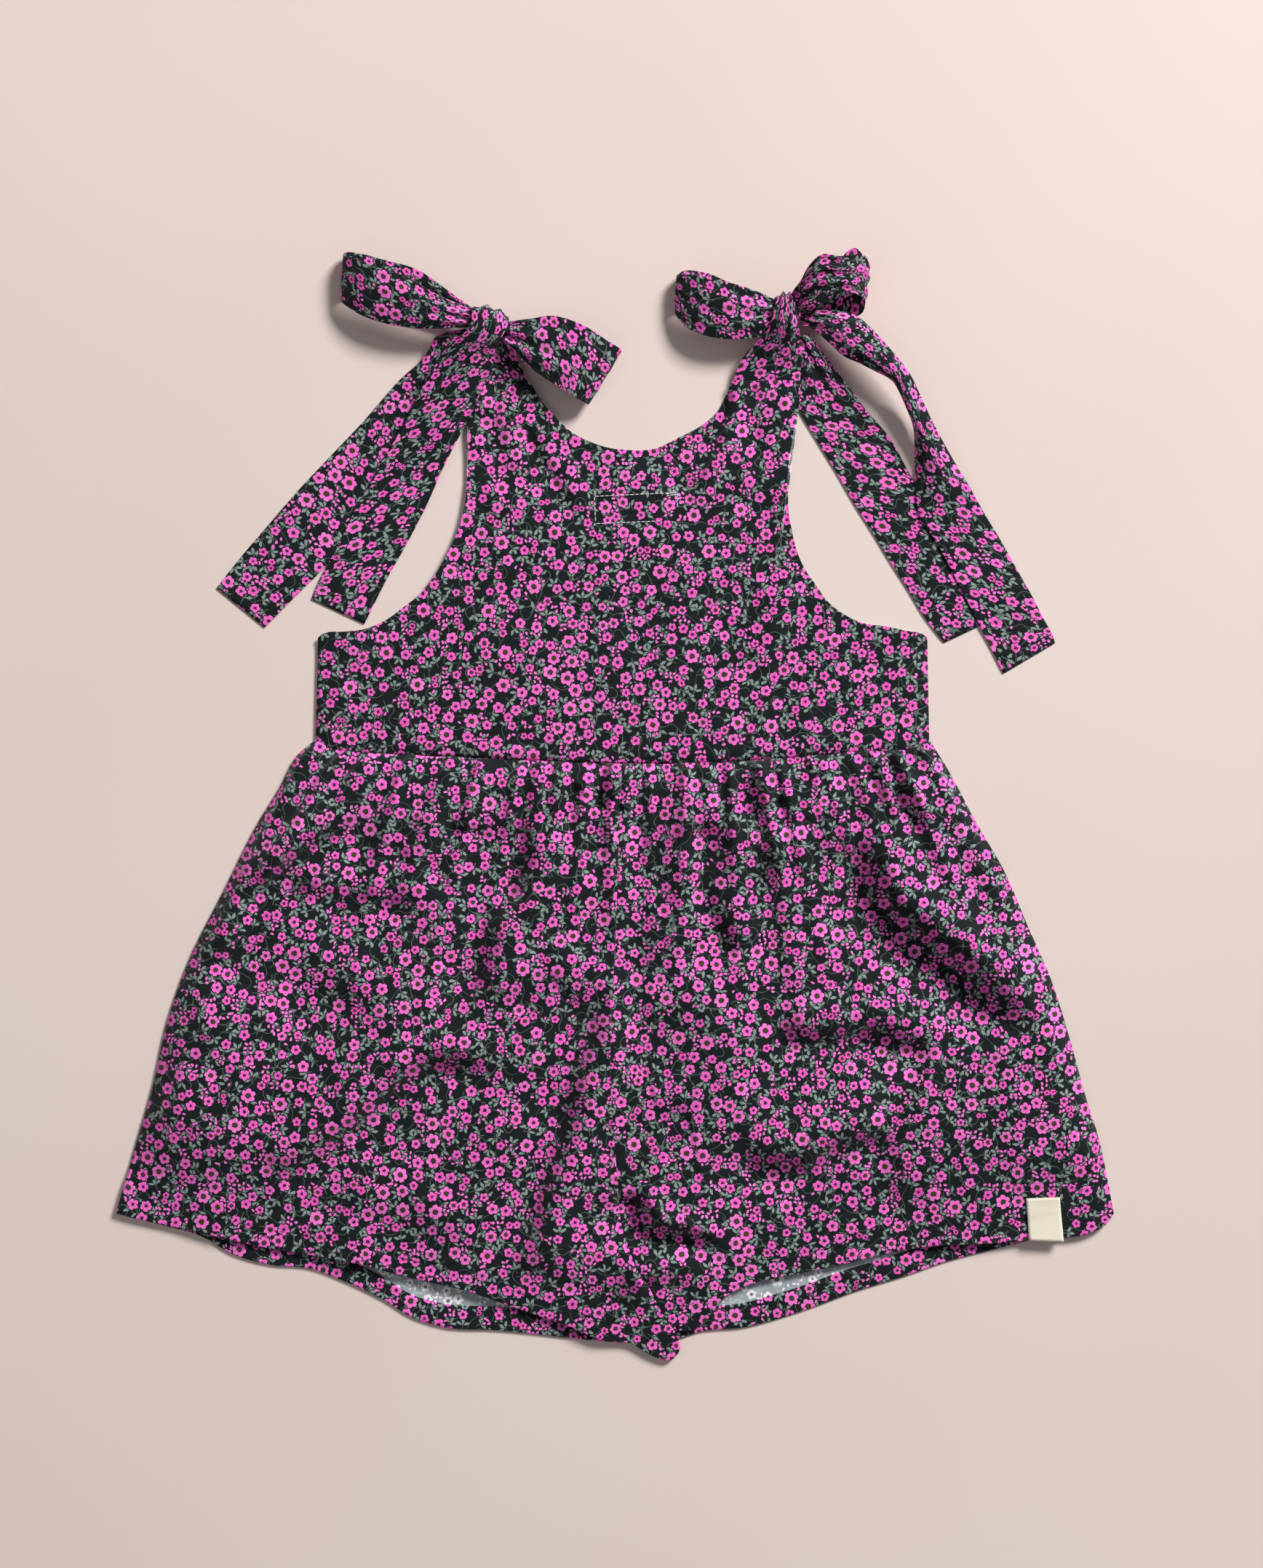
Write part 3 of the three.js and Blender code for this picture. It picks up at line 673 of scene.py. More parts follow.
@dataclass
class Legs:
    """The four gathered leg panels, their turned hems, and the folds of the uppermost two."""

    wall: float = 0.5
    hem: float = 9.5
    fold_radius: float = 0.45
    rest_front: float = 0.35
    rest_back: float = 1.1
    hem_rise: float = 1.7
    puff: float = 8.0
    drop_to_hem: float = 235.0
    rows: int = 150
    cols: int = 170
    gathers: int = 26
    creases: tuple[Crease, ...] = (
        Crease(((-116.5, 2.1), (-145.1, -17.5), (-166.6, -33.6), (-177.3, -42.5), (-188.0, -65.8),
            (-198.8, -76.5), (-209.5, -101.5)), 5.5, 3.2),
        Crease(((-166.6, -39.0), (-134.4, -44.3), (-109.4, -47.9), (-88.0, -49.7)), 2.6, 4.0),
        Crease(((-166.6, -72.9), (-148.7, -87.2), (-130.8, -96.2), (-109.4, -94.4)), 1.6, 6.0),
        Crease(((-41.5, -5.0), (-43.3, -19.3), (-48.6, -40.8), (-59.3, -55.1), (-62.9, -72.9),
            (-70.1, -90.8), (-88.0, -101.5)), 4.8, 3.6),
        Crease(((-80.8, -5.0), (-88.0, -22.9), (-98.7, -33.6)), 2.4, 3.6),
        Crease(((-5.7, 9.3), (-12.9, 2.1)), 1.6, 3.0),
        Crease(((-55.8, -130.1), (-73.6, -128.3), (-91.5, -128.3), (-105.8, -137.3), (-120.1, -151.6),
            (-138.0, -165.9), (-159.4, -180.2), (-168.4, -185.5)), 4.6, 4.2),
        Crease(((1.4, -87.2), (-9.3, -105.1), (-16.4, -123.0), (-23.6, -151.6), (-27.2, -165.9),
            (-34.3, -183.8), (-39.7, -205.2), (-52.2, -223.1), (-62.9, -233.8)), 5.4, 4.2),
        Crease(((-30.7, -80.1), (-52.2, -101.5)), 1.6, 5.0),
        Crease(((-216.6, -123.0), (-225.6, -158.7)), 1.4, 4.0),
        Crease(((115.8, -8.6), (123.0, -30.0), (133.7, -51.5), (155.2, -69.4), (173.0, -83.7),
            (190.9, -101.5), (198.0, -115.8)), 8.0, 4.4, 28.0),
        Crease(((137.3, 12.9), (148.0, -1.4), (155.2, -15.7)), 2.8, 3.2),
        Crease(((46.1, -5.0), (49.7, -19.3), (46.1, -44.3), (55.1, -65.8), (60.4, -76.5)), 3.8, 3.6),
        Crease(((21.1, 16.4), (19.3, -5.0), (17.5, -22.9), (21.1, -44.3), (15.7, -65.8), (12.2, -83.7),
            (1.4, -101.5)), 3.2, 6.0),
        Crease(((81.9, 5.7), (89.0, -12.2)), 2.4, 3.6),
        Crease(((72.9, -105.1), (90.8, -114.0), (108.7, -114.0), (126.6, -112.3), (148.0, -119.4),
            (158.7, -123.0)), 4.4, 4.2),
        Crease(((55.1, -169.5), (76.5, -176.6), (94.4, -176.6), (108.7, -167.7), (126.6, -164.1),
            (140.9, -162.3)), 4.6, 4.2),
        Crease(((19.3, -151.6), (37.2, -148.0)), 1.6, 4.0),
        Crease(((8.0, -188.0), (11.0, -198.0), (16.0, -206.0), (37.2, -213.4), (62.2, -226.7)), 5.5, 3.4,
            10.0),
    )
    swells: tuple[Swell, ...] = (
        Swell(((14.0, -229.0), (28.0, -224.5), (40.0, -229.5), (47.0, -240.0)), 8.0, 8.5),
        Swell(((-140.0, -30.0), (-190.0, -100.0), (-205.0, -160.0)), 2.4, 24.0),
        Swell(((-90.0, -60.0), (-120.0, -110.0), (-180.0, -150.0)), 2.6, 24.0),
        Swell(((-20.0, -40.0), (-35.0, -110.0), (-90.0, -190.0)), 2.4, 22.0),
        Swell(((90.0, -20.0), (110.0, -70.0), (170.0, -110.0)), 2.6, 22.0),
        Swell(((40.0, -100.0), (60.0, -140.0), (150.0, -145.0)), 2.6, 20.0),
    )

    def __post_init__(self) -> None:
        """Draw the panels' plans and throw the gathers' dice."""
        side_l, side_r = Line(LEFT_SIDE), Line(RIGHT_SIDE)
        seam, front_seam = Line(CENTRE_SEAM), Line(FRONT_CENTRE)
        lapped = Line([(x - 0.7, y) for x, y in CENTRE_SEAM])
        top_l, top_r = Line(WAIST_LEFT), Line(WAIST_RIGHT)
        self.plans = {
            "back_left_leg": Patch(top_l, Line(BACK_HEM_LEFT), side_l, seam),
            "back_right_leg": Patch(top_r, Line(BACK_HEM_RIGHT), lapped, side_r),
            "front_left_leg": Patch(top_l, Line(FRONT_HEM_LEFT), side_l, front_seam),
            "front_right_leg": Patch(top_r, Line(FRONT_HEM_RIGHT), front_seam, side_r),
        }
        dice = np.random.default_rng(11)
        n = self.gathers
        self.gather_place = (np.arange(n) + dice.uniform(0.1, 0.9, n)) / n
        self.gather_height = dice.uniform(3.4, 7.8, n) * np.where(np.arange(n) % 3 == 0, 1.25, 0.8)
        self.gather_width = dice.uniform(2.3, 3.9, n)
        self.gather_fade = dice.uniform(26, 92, n)
        self.gather_drift = dice.uniform(-0.05, 0.05, n)

    def gathered(self, across: Array, below: Array) -> Array:
        """Give the gathers' height: narrow Gaussian ridges from the waist seam that widen and die out down
        the cloth.

        Args:
            across: share of the whole waist, 0 at the left side.
            below: distance below the waist seam.

        Returns:
            Millimetres of height.
        """
        total = np.zeros_like(across)
        girth = 300.0 + 190.0 * below / self.drop_to_hem
        deals = zip(self.gather_place, self.gather_height, self.gather_width, self.gather_fade,
            self.gather_drift)
        for place, height, width, fade, drift in deals:
            off = (across - place - drift * below / self.drop_to_hem) * girth
            wide = width * (1 + below / 110)
            total += height * np.exp(-((off / wide) ** 2)) * np.exp(-below / fade)
        return total * smooth(below / 3.0 + 0.3)

    def back_height(self, x: Array, y: Array, u: Array, v: Array, left: bool) -> Array:
        """Give the height of a back panel's middle surface.

        It rests on the front panel at the side seam, is puffed out between, dips into the waist seam and the
        centre seam, carries the placed folds, and rides over both turned hems at the leg edge.

        Args:
            x: places across.
            y: places along.
            u: share across the panel, from left to right.
            v: share down the panel.
            left: whether this is the left panel.

        Returns:
            Millimetres above the board.
        """
        below = v * self.drop_to_hem
        girth = 150.0 + 95.0 * v
        from_side = (u if left else 1 - u) * girth
        from_seam = (1 - u if left else u) * girth
        across = u / 2 if left else 0.5 + u / 2
        side = 1 - np.exp(-from_side / 5.0)
        waist = 1 - np.exp(-below / 5.0)
        folds = sum(fold.height(x, y) for fold in (*self.creases, *self.swells))
        folds = folds * smooth(from_side / 16) * smooth(below / 12)
        slow = 0.8 * ripple(x, y, 62, 3) + 0.35 * ripple(x, y, 24, 4)
        z = self.rest_back + self.puff * side * waist
        z = z + folds + slow * side * waist
        z = z + self.gathered(across, below) * smooth(from_side / 7 + 0.15)
        above = (1 - v) * self.drop_to_hem
        lying = self.rest_back + self.hem_rise * smooth((24 - above) / 12)
        settle = 0.9 * smooth((44 - above) / 40)
        lift = 1.1 * (1 + ripple(x, y * 0.2, 70, 8)) * side
        z = z * (1 - settle) + settle * (lying + lift)
        pucker = 0.32 * np.exp(-(((above - self.hem) / 1.3) ** 2)) * (1 + 0.5 * ripple(x, y, 7, 9))
        seam = 0.75 * np.exp(-((from_seam / 1.5) ** 2)) * smooth(below / 10)
        return soft_floor(z - pucker * side - seam, lying)

    def row_shares(self, rows: int) -> Array:
        """Give the rows' shares down a panel: even steps to the power 1.25, ending where the hem's turn
        starts.
        """
        return np.linspace(0, 1, rows + 1) ** 1.25 * (1 - self.fold_radius / self.drop_to_hem)

    def grid(self, name: str, rows: int, cols: int) -> tuple[Array, Array, Array]:
        """Give a panel's parameters and plan points, rows crowding towards the waist.

        Args:
            name: the panel.
            rows: spans down.
            cols: spans across.

        Returns:
            u, v and the plan points.
        """
        u, v = np.meshgrid(np.linspace(0, 1, cols + 1), self.row_shares(rows))
        return u, v, self.plans[name].at(u, v)

    def on_back(self, name: str, u: Array, v: Array) -> Array:
        """Give points on a back panel's middle surface at given shares across and down."""
        plan = self.plans[name].at(u, v)
        z = self.back_height(plan[..., 0], plan[..., 1], u, v, name == "back_left_leg")
        return np.concatenate([plan, z[..., None]], axis=-1)

    def turned(self, points: Array, plan: Patch, u: Array, side: int) -> Array:
        """Carry a panel's surface round its hem and back along itself.

        The turn is a half circle of fold_radius, and the hem then follows the panel at twice that distance.

        Args:
            points: the panel's surface, its last row at the leg edge.
            plan: the panel's plan.
            u: shares across, one row.
            side: 1 to turn up, -1 to turn under.

        Returns:
            The surface with the hem's rows added.
        """
        out = plan.at(u, np.ones_like(u)) - plan.at(u, np.full_like(u, 1 - 4 / self.drop_to_hem))
        out = out / np.linalg.norm(out, axis=-1, keepdims=True)
        edge = points[-1]
        angle = np.linspace(0, math.pi, 7)[1:, None]
        r = self.fold_radius
        bend = np.empty((6, len(u), 3))
        bend[..., :2] = edge[None, :, :2] + (r * np.sin(angle))[..., None] * out[None]
        bend[..., 2] = edge[None, :, 2] + side * r * (1 - np.cos(angle))
        end = 1 - r / self.drop_to_hem
        depths = end - np.linspace(0, 1, 6)[1:] * self.hem / self.drop_to_hem
        rows_v = self.row_shares(self.rows)
        hem = []
        for share in depths:
            level = edge[:, 2]
            if side < 0:
                row = np.searchsorted(rows_v, share) - 1
                part = (share - rows_v[row]) / (rows_v[row + 1] - rows_v[row])
                level = (1 - part) * points[row, :, 2] + part * points[row + 1, :, 2]
            place = plan.at(u, np.full_like(u, share))
            hem.append(np.concatenate([place, (level + 2 * side * r)[:, None]], axis=-1))
        return np.concatenate([points, bend, np.stack(hem)], axis=0)

    def build(self, right: bpy.types.Material, wrong: bpy.types.Material) -> None:
        """Make the four panels.

        Args:
            right: the cloth's right side.
            wrong: its wrong side.
        """
        for name, plan in self.plans.items():
            back = name.startswith("back")
            left = "left" in name
            rows, cols = (self.rows, self.cols) if back else (60, 110)
            u, v, flat = self.grid(name, rows, cols)
            if back:
                z = self.back_height(flat[..., 0], flat[..., 1], u, v, left)
            else:
                z = self.rest_front + 0.12 * (1 + ripple(flat[..., 0], flat[..., 1], 40, 21))
            points = np.concatenate([flat, z[..., None]], axis=-1)
            points = self.turned(points, plan, u[0], -1 if back else 1)
            uv = cloth_uv(points, LEG_CUT_AT[name])
            slots = (right, wrong) if back else (wrong, right)
            made = surface_object(name, points, uv, slots)
            thicken(made, self.wall)
            declare(made, [name])


# ---------------------------------------------------------------- the bodice


@dataclass
class Bodice:
    """The back and front bodice panels, each running up into two straps."""

    wall: float = 0.55
    rest_front: float = 0.35
    rest_back: float = 1.1
    puff: float = 2.0
    rows: int = 96
    creases: tuple[Crease, ...] = (
        Crease(((56.8, 212.0), (54.0, 192.0), (49.0, 177.5), (44.0, 166.6), (38.6, 156.2), (32.9, 146.9)),
            4.2, 1.8, 18.0, 0.3, -1),
        Crease(((-44.0, 189.0), (-35.0, 168.7), (-26.8, 155.5), (-16.4, 141.6)), 1.3, 1.8, 12.0),
        Crease(((-59.3, 134.4), (-34.3, 145.1)), 1.0, 4.0, 14.0),
        Crease(((58.6, 148.7), (80.0, 148.7)), 0.9, 4.0, 12.0),
        Crease(((69.4, 109.4), (65.8, 91.5), (55.0, 73.6)), 1.2, 5.0, 18.0),
        Crease(((-60.0, 196.0), (-57.0, 176.0), (-52.0, 158.0)), 1.4, 3.0, 12.0),
        Crease(((72.0, 206.0), (71.0, 188.0), (69.0, 170.0)), 1.3, 3.0, 12.0),
    )

    def height(self, x: Array, y: Array) -> Array:
        """Give the height of the back panel's middle surface.

        It rests on the front at the side seams, is a little full between, dips to the waist seam, and rises
        towards the knots along the straps.

        Args:
            x: places across.
            y: places along.

        Returns:
            Millimetres above the board.
        """
        waist = Line((*WAIST_LEFT, *WAIST_RIGHT[1:])).points
        above = y - np.interp(x, waist[:, 0], waist[:, 1])
        middle = 3.2
        from_side = np.maximum(150.3 - np.abs(x - middle), 0)
        side = np.where(y < 84, 1 - np.exp(-from_side / 6.0), 1.0)
        side = side + (1 - side) * smooth((y - 76) / 10)
        low = 1 - 0.75 * np.exp(-np.maximum(above, 0) / 3.2)
        strap = smooth((y - 172) / 38)
        folds = sum(fold.height(x, y) for fold in self.creases)
        slow = 0.45 * ripple(x, y, 55, 31) + 0.16 * ripple(x, y, 17, 32)
        z = self.rest_back + (self.puff + slow) * side * low + folds * smooth(above / 8) + 2.2 * strap
        pleat = 0.7 * strap * np.sin(x * 0.55)
        roll = 0.5 * np.exp(-((np.maximum(above, 0) - 4.0) / 3.0) ** 2)
        return soft_floor(z + pleat + roll * side, self.rest_back, 0.5)

    def grid(self, neck: Rows, inset: float) -> Array:
        """Give the panel's plan: straight lines from the waist seam up to armhole, strap, neck and armhole.

        Args:
            neck: the neck's stations.
            inset: how far the outline is drawn in.

        Returns:
            Rows by columns by two, rows from the top down.
        """
        arm_l, arm_r, neck_line = Line(ARMHOLE_LEFT), Line(ARMHOLE_RIGHT), Line(neck)
        waist = Line((*WAIST_LEFT, *WAIST_RIGHT[1:]))
        runs = (
            (arm_l, 60, 0.0, 0.245),
            (Line((arm_l.at(1.0), neck_line.at(0.0))), 16, 0.245, 0.34),
            (neck_line, 72, 0.34, 0.66),
            (Line((neck_line.at(1.0), arm_r.at(0.0))), 16, 0.66, 0.712),
            (arm_r, 60, 0.712, 1.0),
        )
        high, low = [], []
        for i, (line, cols, start, end) in enumerate(runs):
            t = np.linspace(0, 1, cols + 1)[0 if i == 0 else 1 :]
            high.append(line.at(t))
            lag = 1 - (1 - t) ** 2.2 if line is arm_l else t**2.2 if line is arm_r else t
            low.append(waist.at(start + (end - start) * lag))
        top, bottom = np.concatenate(high), np.concatenate(low)
        rise = (1 - np.linspace(0, 1, self.rows + 1) ** 1.15)[:, None, None]
        plan = bottom[None] * (1 - rise) + top[None] * rise
        plan[..., 0] -= inset * np.sign(plan[..., 0])
        return plan

    def build(self, right: bpy.types.Material, wrong: bpy.types.Material) -> None:
        """Make both panels.

        Args:
            right: the cloth's right side.
            wrong: its wrong side.
        """
        for name, neck in (("back_bodice", BACK_NECK), ("front_bodice", FRONT_NECK)):
            back = name == "back_bodice"
            plan = self.grid(neck, 0.0 if back else 2.2)
            x, y = plan[..., 0], plan[..., 1]
            z = self.height(x, y) if back else self.rest_front + 0.1 * (1 + ripple(x, y, 45, 41))
            points = np.concatenate([plan, z[..., None]], axis=-1)
            uv = plan + np.array([640.0, 420.0] if back else [900.0, 420.0])
            made = surface_object(name, points, uv, (right, wrong) if back else (wrong, right))
            thicken(made, self.wall)
            declare(made, [name])


# ---------------------------------------------------------------- the bows


@dataclass(frozen=True)
class Ribbon:
    """A stretch of tie: a turned tube pressed flat, carried along a table of stations.

    A station's columns are its two edges and the height that its middle stands above them.
    """

    name: str
    stations: Rows
    flat: tuple[float, float]
    held: str
    rests_on: tuple[str, ...]
    cut_at: tuple[float, float]
    wall: float = 1.0
    pleats: float = 2.5
    pleat_start: float = 0.0
    pleat_end: float = 0.0
    pleat_fade: float = 22.0
    open_ends: tuple[bool, bool] = (False, False)
    steps: int = 110
    around: int = 72

    def build(self, cloth: bpy.types.Material) -> bpy.types.Object:
        """Make the ribbon.

        Across, c runs from one edge to the other and back on the under side; the middle is raised by
        4 c (1 - c) times the arch, pleats are a cosine of c that fades from the knot, and the half wall falls
        to nothing at both edges as the root of the sine.

        Args:
            cloth: the cloth's right side.

        Returns:
            The object.
        """
        line = Line(self.stations, measured=((0, 1, 2), (3, 4, 5)))
        s = np.linspace(0, 1, self.steps + 1)
        row = line.at(s)
        a, b, arch = row[:, None, 0:3], row[:, None, 3:6], row[:, 6][:, None]
        phi = np.linspace(0, 2 * math.pi, self.around, endpoint=False)
        c = (1 - np.cos(phi)) / 2
        run = s * line.length
        near, far = np.exp(-run / self.pleat_fade), np.exp(-(line.length - run) / self.pleat_fade)
        pleat = (self.pleat_start * near + self.pleat_end * far)[:, None]
        wave = np.cos(2 * math.pi * self.pleats * c + 0.9) * np.sin(math.pi * c) ** 0.5
        lift = arch * 4 * c * (1 - c) + pleat * wave
        middle = a + (b - a) * c[None, :, None]
        along = np.gradient(middle, axis=0)
        across = (b - a) * np.ones_like(middle)
        normal = np.cross(across, along)
        normal /= np.maximum(np.linalg.norm(normal, axis=-1, keepdims=True), 1e-9)
        normal *= np.where(normal[:1, :1, 2:] < 0, -1, 1)
        ends = np.clip(np.minimum(run, line.length - run) / 0.8, 0, 1) ** 0.5
        half = self.wall / 2 * ends[:, None] * np.sign(np.sin(phi)) * np.abs(np.sin(phi)) ** 0.4
        points = middle + normal * (lift + half)[..., None]
        points[..., 2] = soft_floor(points[..., 2], np.where(half > 0, self.wall, 0.0) * 0.9 + 0.05, 0.05)
        wide = self.flat[1] * 1000
        turn = np.append(phi, 2 * math.pi)
        lie = np.where(turn <= math.pi, (1 - np.cos(turn)) / 2, 2 - (1 - np.cos(turn)) / 2) * wide
        uv = np.stack(np.broadcast_arrays(lie[None, :] + self.cut_at[0], self.cut_at[1] - run[:, None]),
            axis=-1)
        made = surface_object(self.name, points, uv, (cloth,), closed=True)
        close_shell(made)
        declare(made, [self.name])
        return made


@dataclass
class Bows:
    """The two shoulder bows: for each, two loops, two tails, the tie below and the knot between."""

    left_outer: Rows = (
        (-65.0, 240.5, 12.0, -68.0, 233.0, 11.0, 1.0), (-84.0, 247.0, 15.0, -85.5, 232.0, 13.0, 1.5),
        (-101.5, 256.5, 17.0, -102.0, 232.6, 13.0, 1.5), (-116.5, 261.5, 17.0, -117.0, 236.0, 12.0, 1.0),
        (-127.5, 266.3, 14.0, -127.5, 241.0, 10.0, 0.5), (-132.5, 268.6, 9.0, -134.0, 246.7, 7.0, 0.3),
        (-132.4, 270.6, 5.0, -133.2, 250.0, 4.2, 0.0), (-123.5, 270.0, 2.8, -124.0, 247.0, 2.4, 0.0),
        (-113.0, 267.2, 2.6, -113.0, 243.0, 2.2, 0.0), (-97.5, 262.5, 3.6, -98.0, 238.0, 3.0, 0.0),
        (-79.0, 249.5, 6.5, -80.0, 236.0, 6.0, 0.0), (-69.0, 242.0, 9.5, -71.0, 235.0, 9.0, 0.0),
    )
    left_inner: Rows = (
        (-57.0, 235.0, 12.0, -56.0, 226.0, 11.0, 1.0), (-42.0, 236.3, 16.0, -41.0, 212.5, 14.0, 1.5),
        (-28.0, 237.2, 18.0, -26.5, 202.8, 14.0, 1.5), (-12.8, 231.6, 17.0, -18.3, 198.0, 12.0, 1.0),
        (-4.0, 226.2, 13.5, -14.8, 196.3, 9.5, 0.5), (2.6, 222.7, 8.5, -13.2, 195.9, 6.5, 0.2),
        (2.8, 222.4, 4.5, -13.8, 197.0, 4.0, 0.0), (-6.0, 226.0, 3.0, -19.0, 201.0, 3.0, 0.0),
        (-20.0, 231.0, 3.4, -30.0, 208.0, 3.4, 0.0), (-40.0, 233.0, 6.0, -44.0, 219.0, 6.0, 0.0),
        (-56.0, 232.0, 9.0, -55.0, 227.0, 9.0, 0.0),
    )
    left_upper: Rows = (
        (-67.5, 242.5, 6.0, -53.0, 238.0, 6.0, 0.5), (-69.4, 242.6, 12.0, -52.0, 237.5, 12.0, 2.0),
        (-69.8, 240.5, 16.0, -51.8, 235.0, 16.0, 2.5), (-70.2, 233.6, 18.0, -53.3, 230.4, 18.0, 2.5),
        (-75.0, 228.0, 17.0, -55.8, 226.0, 16.8, 2.0), (-81.9, 222.6, 14.0, -58.3, 220.8, 14.0, 1.5),
        (-89.4, 213.4, 10.0, -60.8, 213.0, 11.0, 1.2), (-96.9, 199.5, 6.5, -66.1, 200.6, 8.5, 0.8),
        (-106.5, 181.6, 3.8, -75.0, 183.0, 6.0, 0.4), (-116.5, 165.2, 2.6, -84.4, 165.2, 3.5, 0.3),
        (-126.9, 146.2, 2.2, -93.0, 146.2, 1.8, 0.3), (-136.6, 126.6, 2.0, -103.3, 126.6, 1.0, 0.2),
        (-145.0, 110.8, 1.4, -113.0, 109.4, 0.7, 0.1), (-149.4, 100.8, 0.7, -123.3, 88.7, 0.7, 0.0),
    )
    left_lower: Rows = (
        (-73.6, 232.7, 8.0, -62.2, 227.4, 8.0, 1.0), (-86.9, 229.9, 6.0, -70.0, 220.2, 6.5, 1.0),
        (-93.3, 219.9, 4.4, -73.6, 207.7, 5.0, 0.8), (-105.5, 208.8, 2.2, -82.6, 189.8, 3.0, 0.4),
        (-124.0, 188.0, 0.9, -103.7, 168.7, 1.0, 0.2), (-143.7, 167.3, 0.7, -119.4, 145.9, 0.7, 0.0),
        (-157.3, 152.7, 0.7, -131.6, 130.1, 0.7, 0.0), (-170.9, 136.9, 0.7, -143.0, 116.5, 0.7, 0.0),
        (-183.4, 122.3, 0.7, -157.3, 102.2, 0.7, 0.0), (-196.0, 106.3, 0.7, -172.3, 86.9, 0.7, 0.0),
    )
    left_stub: Rows = (
        (-71.0, 206.5, 3.6, -42.6, 206.5, 3.6, 0.3), (-70.0, 214.9, 5.0, -46.8, 216.0, 5.0, 1.0),
        (-68.3, 222.0, 8.0, -51.0, 223.0, 8.0, 1.5), (-66.0, 230.0, 11.0, -54.0, 230.0, 11.0, 1.5),
    )
    right_outer: Rows = (
        (79.0, 245.5, 13.0, 79.0, 233.0, 12.0, 1.0), (71.0, 249.0, 15.0, 73.0, 229.0, 13.0, 1.5),
        (60.5, 252.5, 16.5, 63.0, 227.0, 13.0, 1.5), (50.0, 255.0, 17.0, 50.0, 227.4, 12.5, 1.2),
        (40.0, 257.5, 15.0, 40.0, 230.2, 11.0, 1.0), (33.5, 259.3, 11.0, 33.5, 234.4, 9.0, 0.6),
        (30.3, 259.0, 7.0, 29.4, 240.5, 6.5, 0.3), (33.0, 261.5, 4.0, 31.0, 244.0, 4.0, 0.0),
        (43.0, 261.2, 2.8, 41.0, 240.0, 2.8, 0.0), (57.0, 255.5, 3.4, 56.0, 234.0, 3.4, 0.0),
        (72.5, 248.0, 6.0, 71.0, 236.0, 6.0, 0.0), (80.0, 244.0, 10.0, 79.0, 237.0, 10.0, 0.0),
    )
    right_inner: Rows = (
        (88.0, 248.0, 13.0, 87.5, 240.0, 12.0, 1.0), (90.6, 255.0, 20.0, 90.3, 245.0, 18.0, 1.5),
        (95.0, 262.3, 25.0, 94.6, 247.0, 22.0, 1.5), (100.0, 265.8, 27.3, 100.0, 248.4, 23.5, 1.2),
        (108.0, 264.8, 28.0, 107.0, 249.0, 23.5, 0.8), (116.0, 265.8, 26.0, 115.0, 248.2, 21.0, 0.5),
        (121.4, 265.8, 21.0, 119.6, 247.0, 16.0, 0.3), (123.8, 262.0, 15.0, 121.8, 245.0, 11.0, 0.0),
        (122.5, 266.0, 9.5, 121.0, 241.0, 7.5, 0.0), (117.8, 272.4, 6.0, 117.0, 238.5, 5.0, 0.0),
        (109.0, 266.5, 4.4, 110.0, 236.0, 4.0, 0.0), (99.0, 256.0, 5.5, 100.0, 235.0, 5.0, 0.0),
        (91.0, 249.0, 9.0, 90.0, 237.0, 8.0, 0.0),
    )
    right_upper: Rows = (
        (90.8, 233.8, 12.0, 98.0, 241.7, 13.0, 1.0), (96.9, 231.7, 11.0, 108.7, 241.0, 12.0, 2.0),
        (104.4, 225.2, 11.0, 118.0, 238.1, 12.0, 3.0), (111.5, 218.8, 11.0, 125.8, 231.3, 12.5, 3.5),
        (118.7, 215.6, 10.5, 132.3, 224.2, 12.5, 4.5), (126.9, 211.6, 9.5, 138.4, 217.0, 12.5, 5.0),
        (135.1, 207.7, 8.0, 144.4, 208.8, 12.0, 5.5), (139.4, 202.3, 6.0, 147.6, 202.3, 11.0, 6.0),
        (143.4, 194.5, 4.0, 151.6, 194.1, 9.5, 6.5), (146.2, 184.5, 2.4, 156.6, 184.5, 7.5, 6.5),
        (146.9, 170.2, 1.8, 164.8, 170.2, 5.0, 5.5), (147.3, 155.9, 2.0, 173.7, 155.9, 3.0, 3.5),
        (148.7, 143.4, 2.2, 180.9, 143.4, 1.6, 1.5), (158.4, 127.3, 2.2, 190.9, 126.9, 0.9, 0.5),
        (164.5, 115.8, 2.0, 197.0, 115.8, 0.7, 0.3), (170.9, 103.3, 1.9, 203.8, 104.0, 0.7, 0.2),
        (177.3, 90.8, 1.6, 210.2, 91.5, 0.7, 0.1), (184.0, 77.4, 0.8, 214.6, 83.5, 0.7, 0.0),
        (190.5, 64.4, 0.7, 215.9, 79.4, 0.7, 0.0),
    )
    right_lower: Rows = (
        (81.9, 228.1, 9.0, 95.5, 230.2, 9.0, 1.0), (85.4, 220.2, 5.5, 100.1, 223.1, 6.5, 1.0),
        (87.6, 209.5, 1.9, 108.7, 212.4, 4.0, 0.6), (89.7, 195.2, 0.9, 121.9, 195.2, 1.6, 0.4),
        (98.3, 179.8, 0.7, 134.4, 180.5, 0.8, 0.1), (108.0, 164.0, 0.7, 143.7, 164.0, 0.7, 0.0),
        (118.3, 146.2, 0.7, 152.3, 148.7, 0.7, 0.0), (126.9, 132.6, 0.7, 158.7, 137.1, 0.7, 0.0),
        (135.1, 119.0, 0.7, 165.2, 125.9, 0.7, 0.0), (143.7, 105.5, 0.7, 172.6, 114.0, 0.7, 0.0),
        (151.9, 91.9, 0.7, 180.2, 102.5, 0.7, 0.0), (161.4, 79.6, 0.7, 186.6, 91.5, 0.7, 0.0),
    )
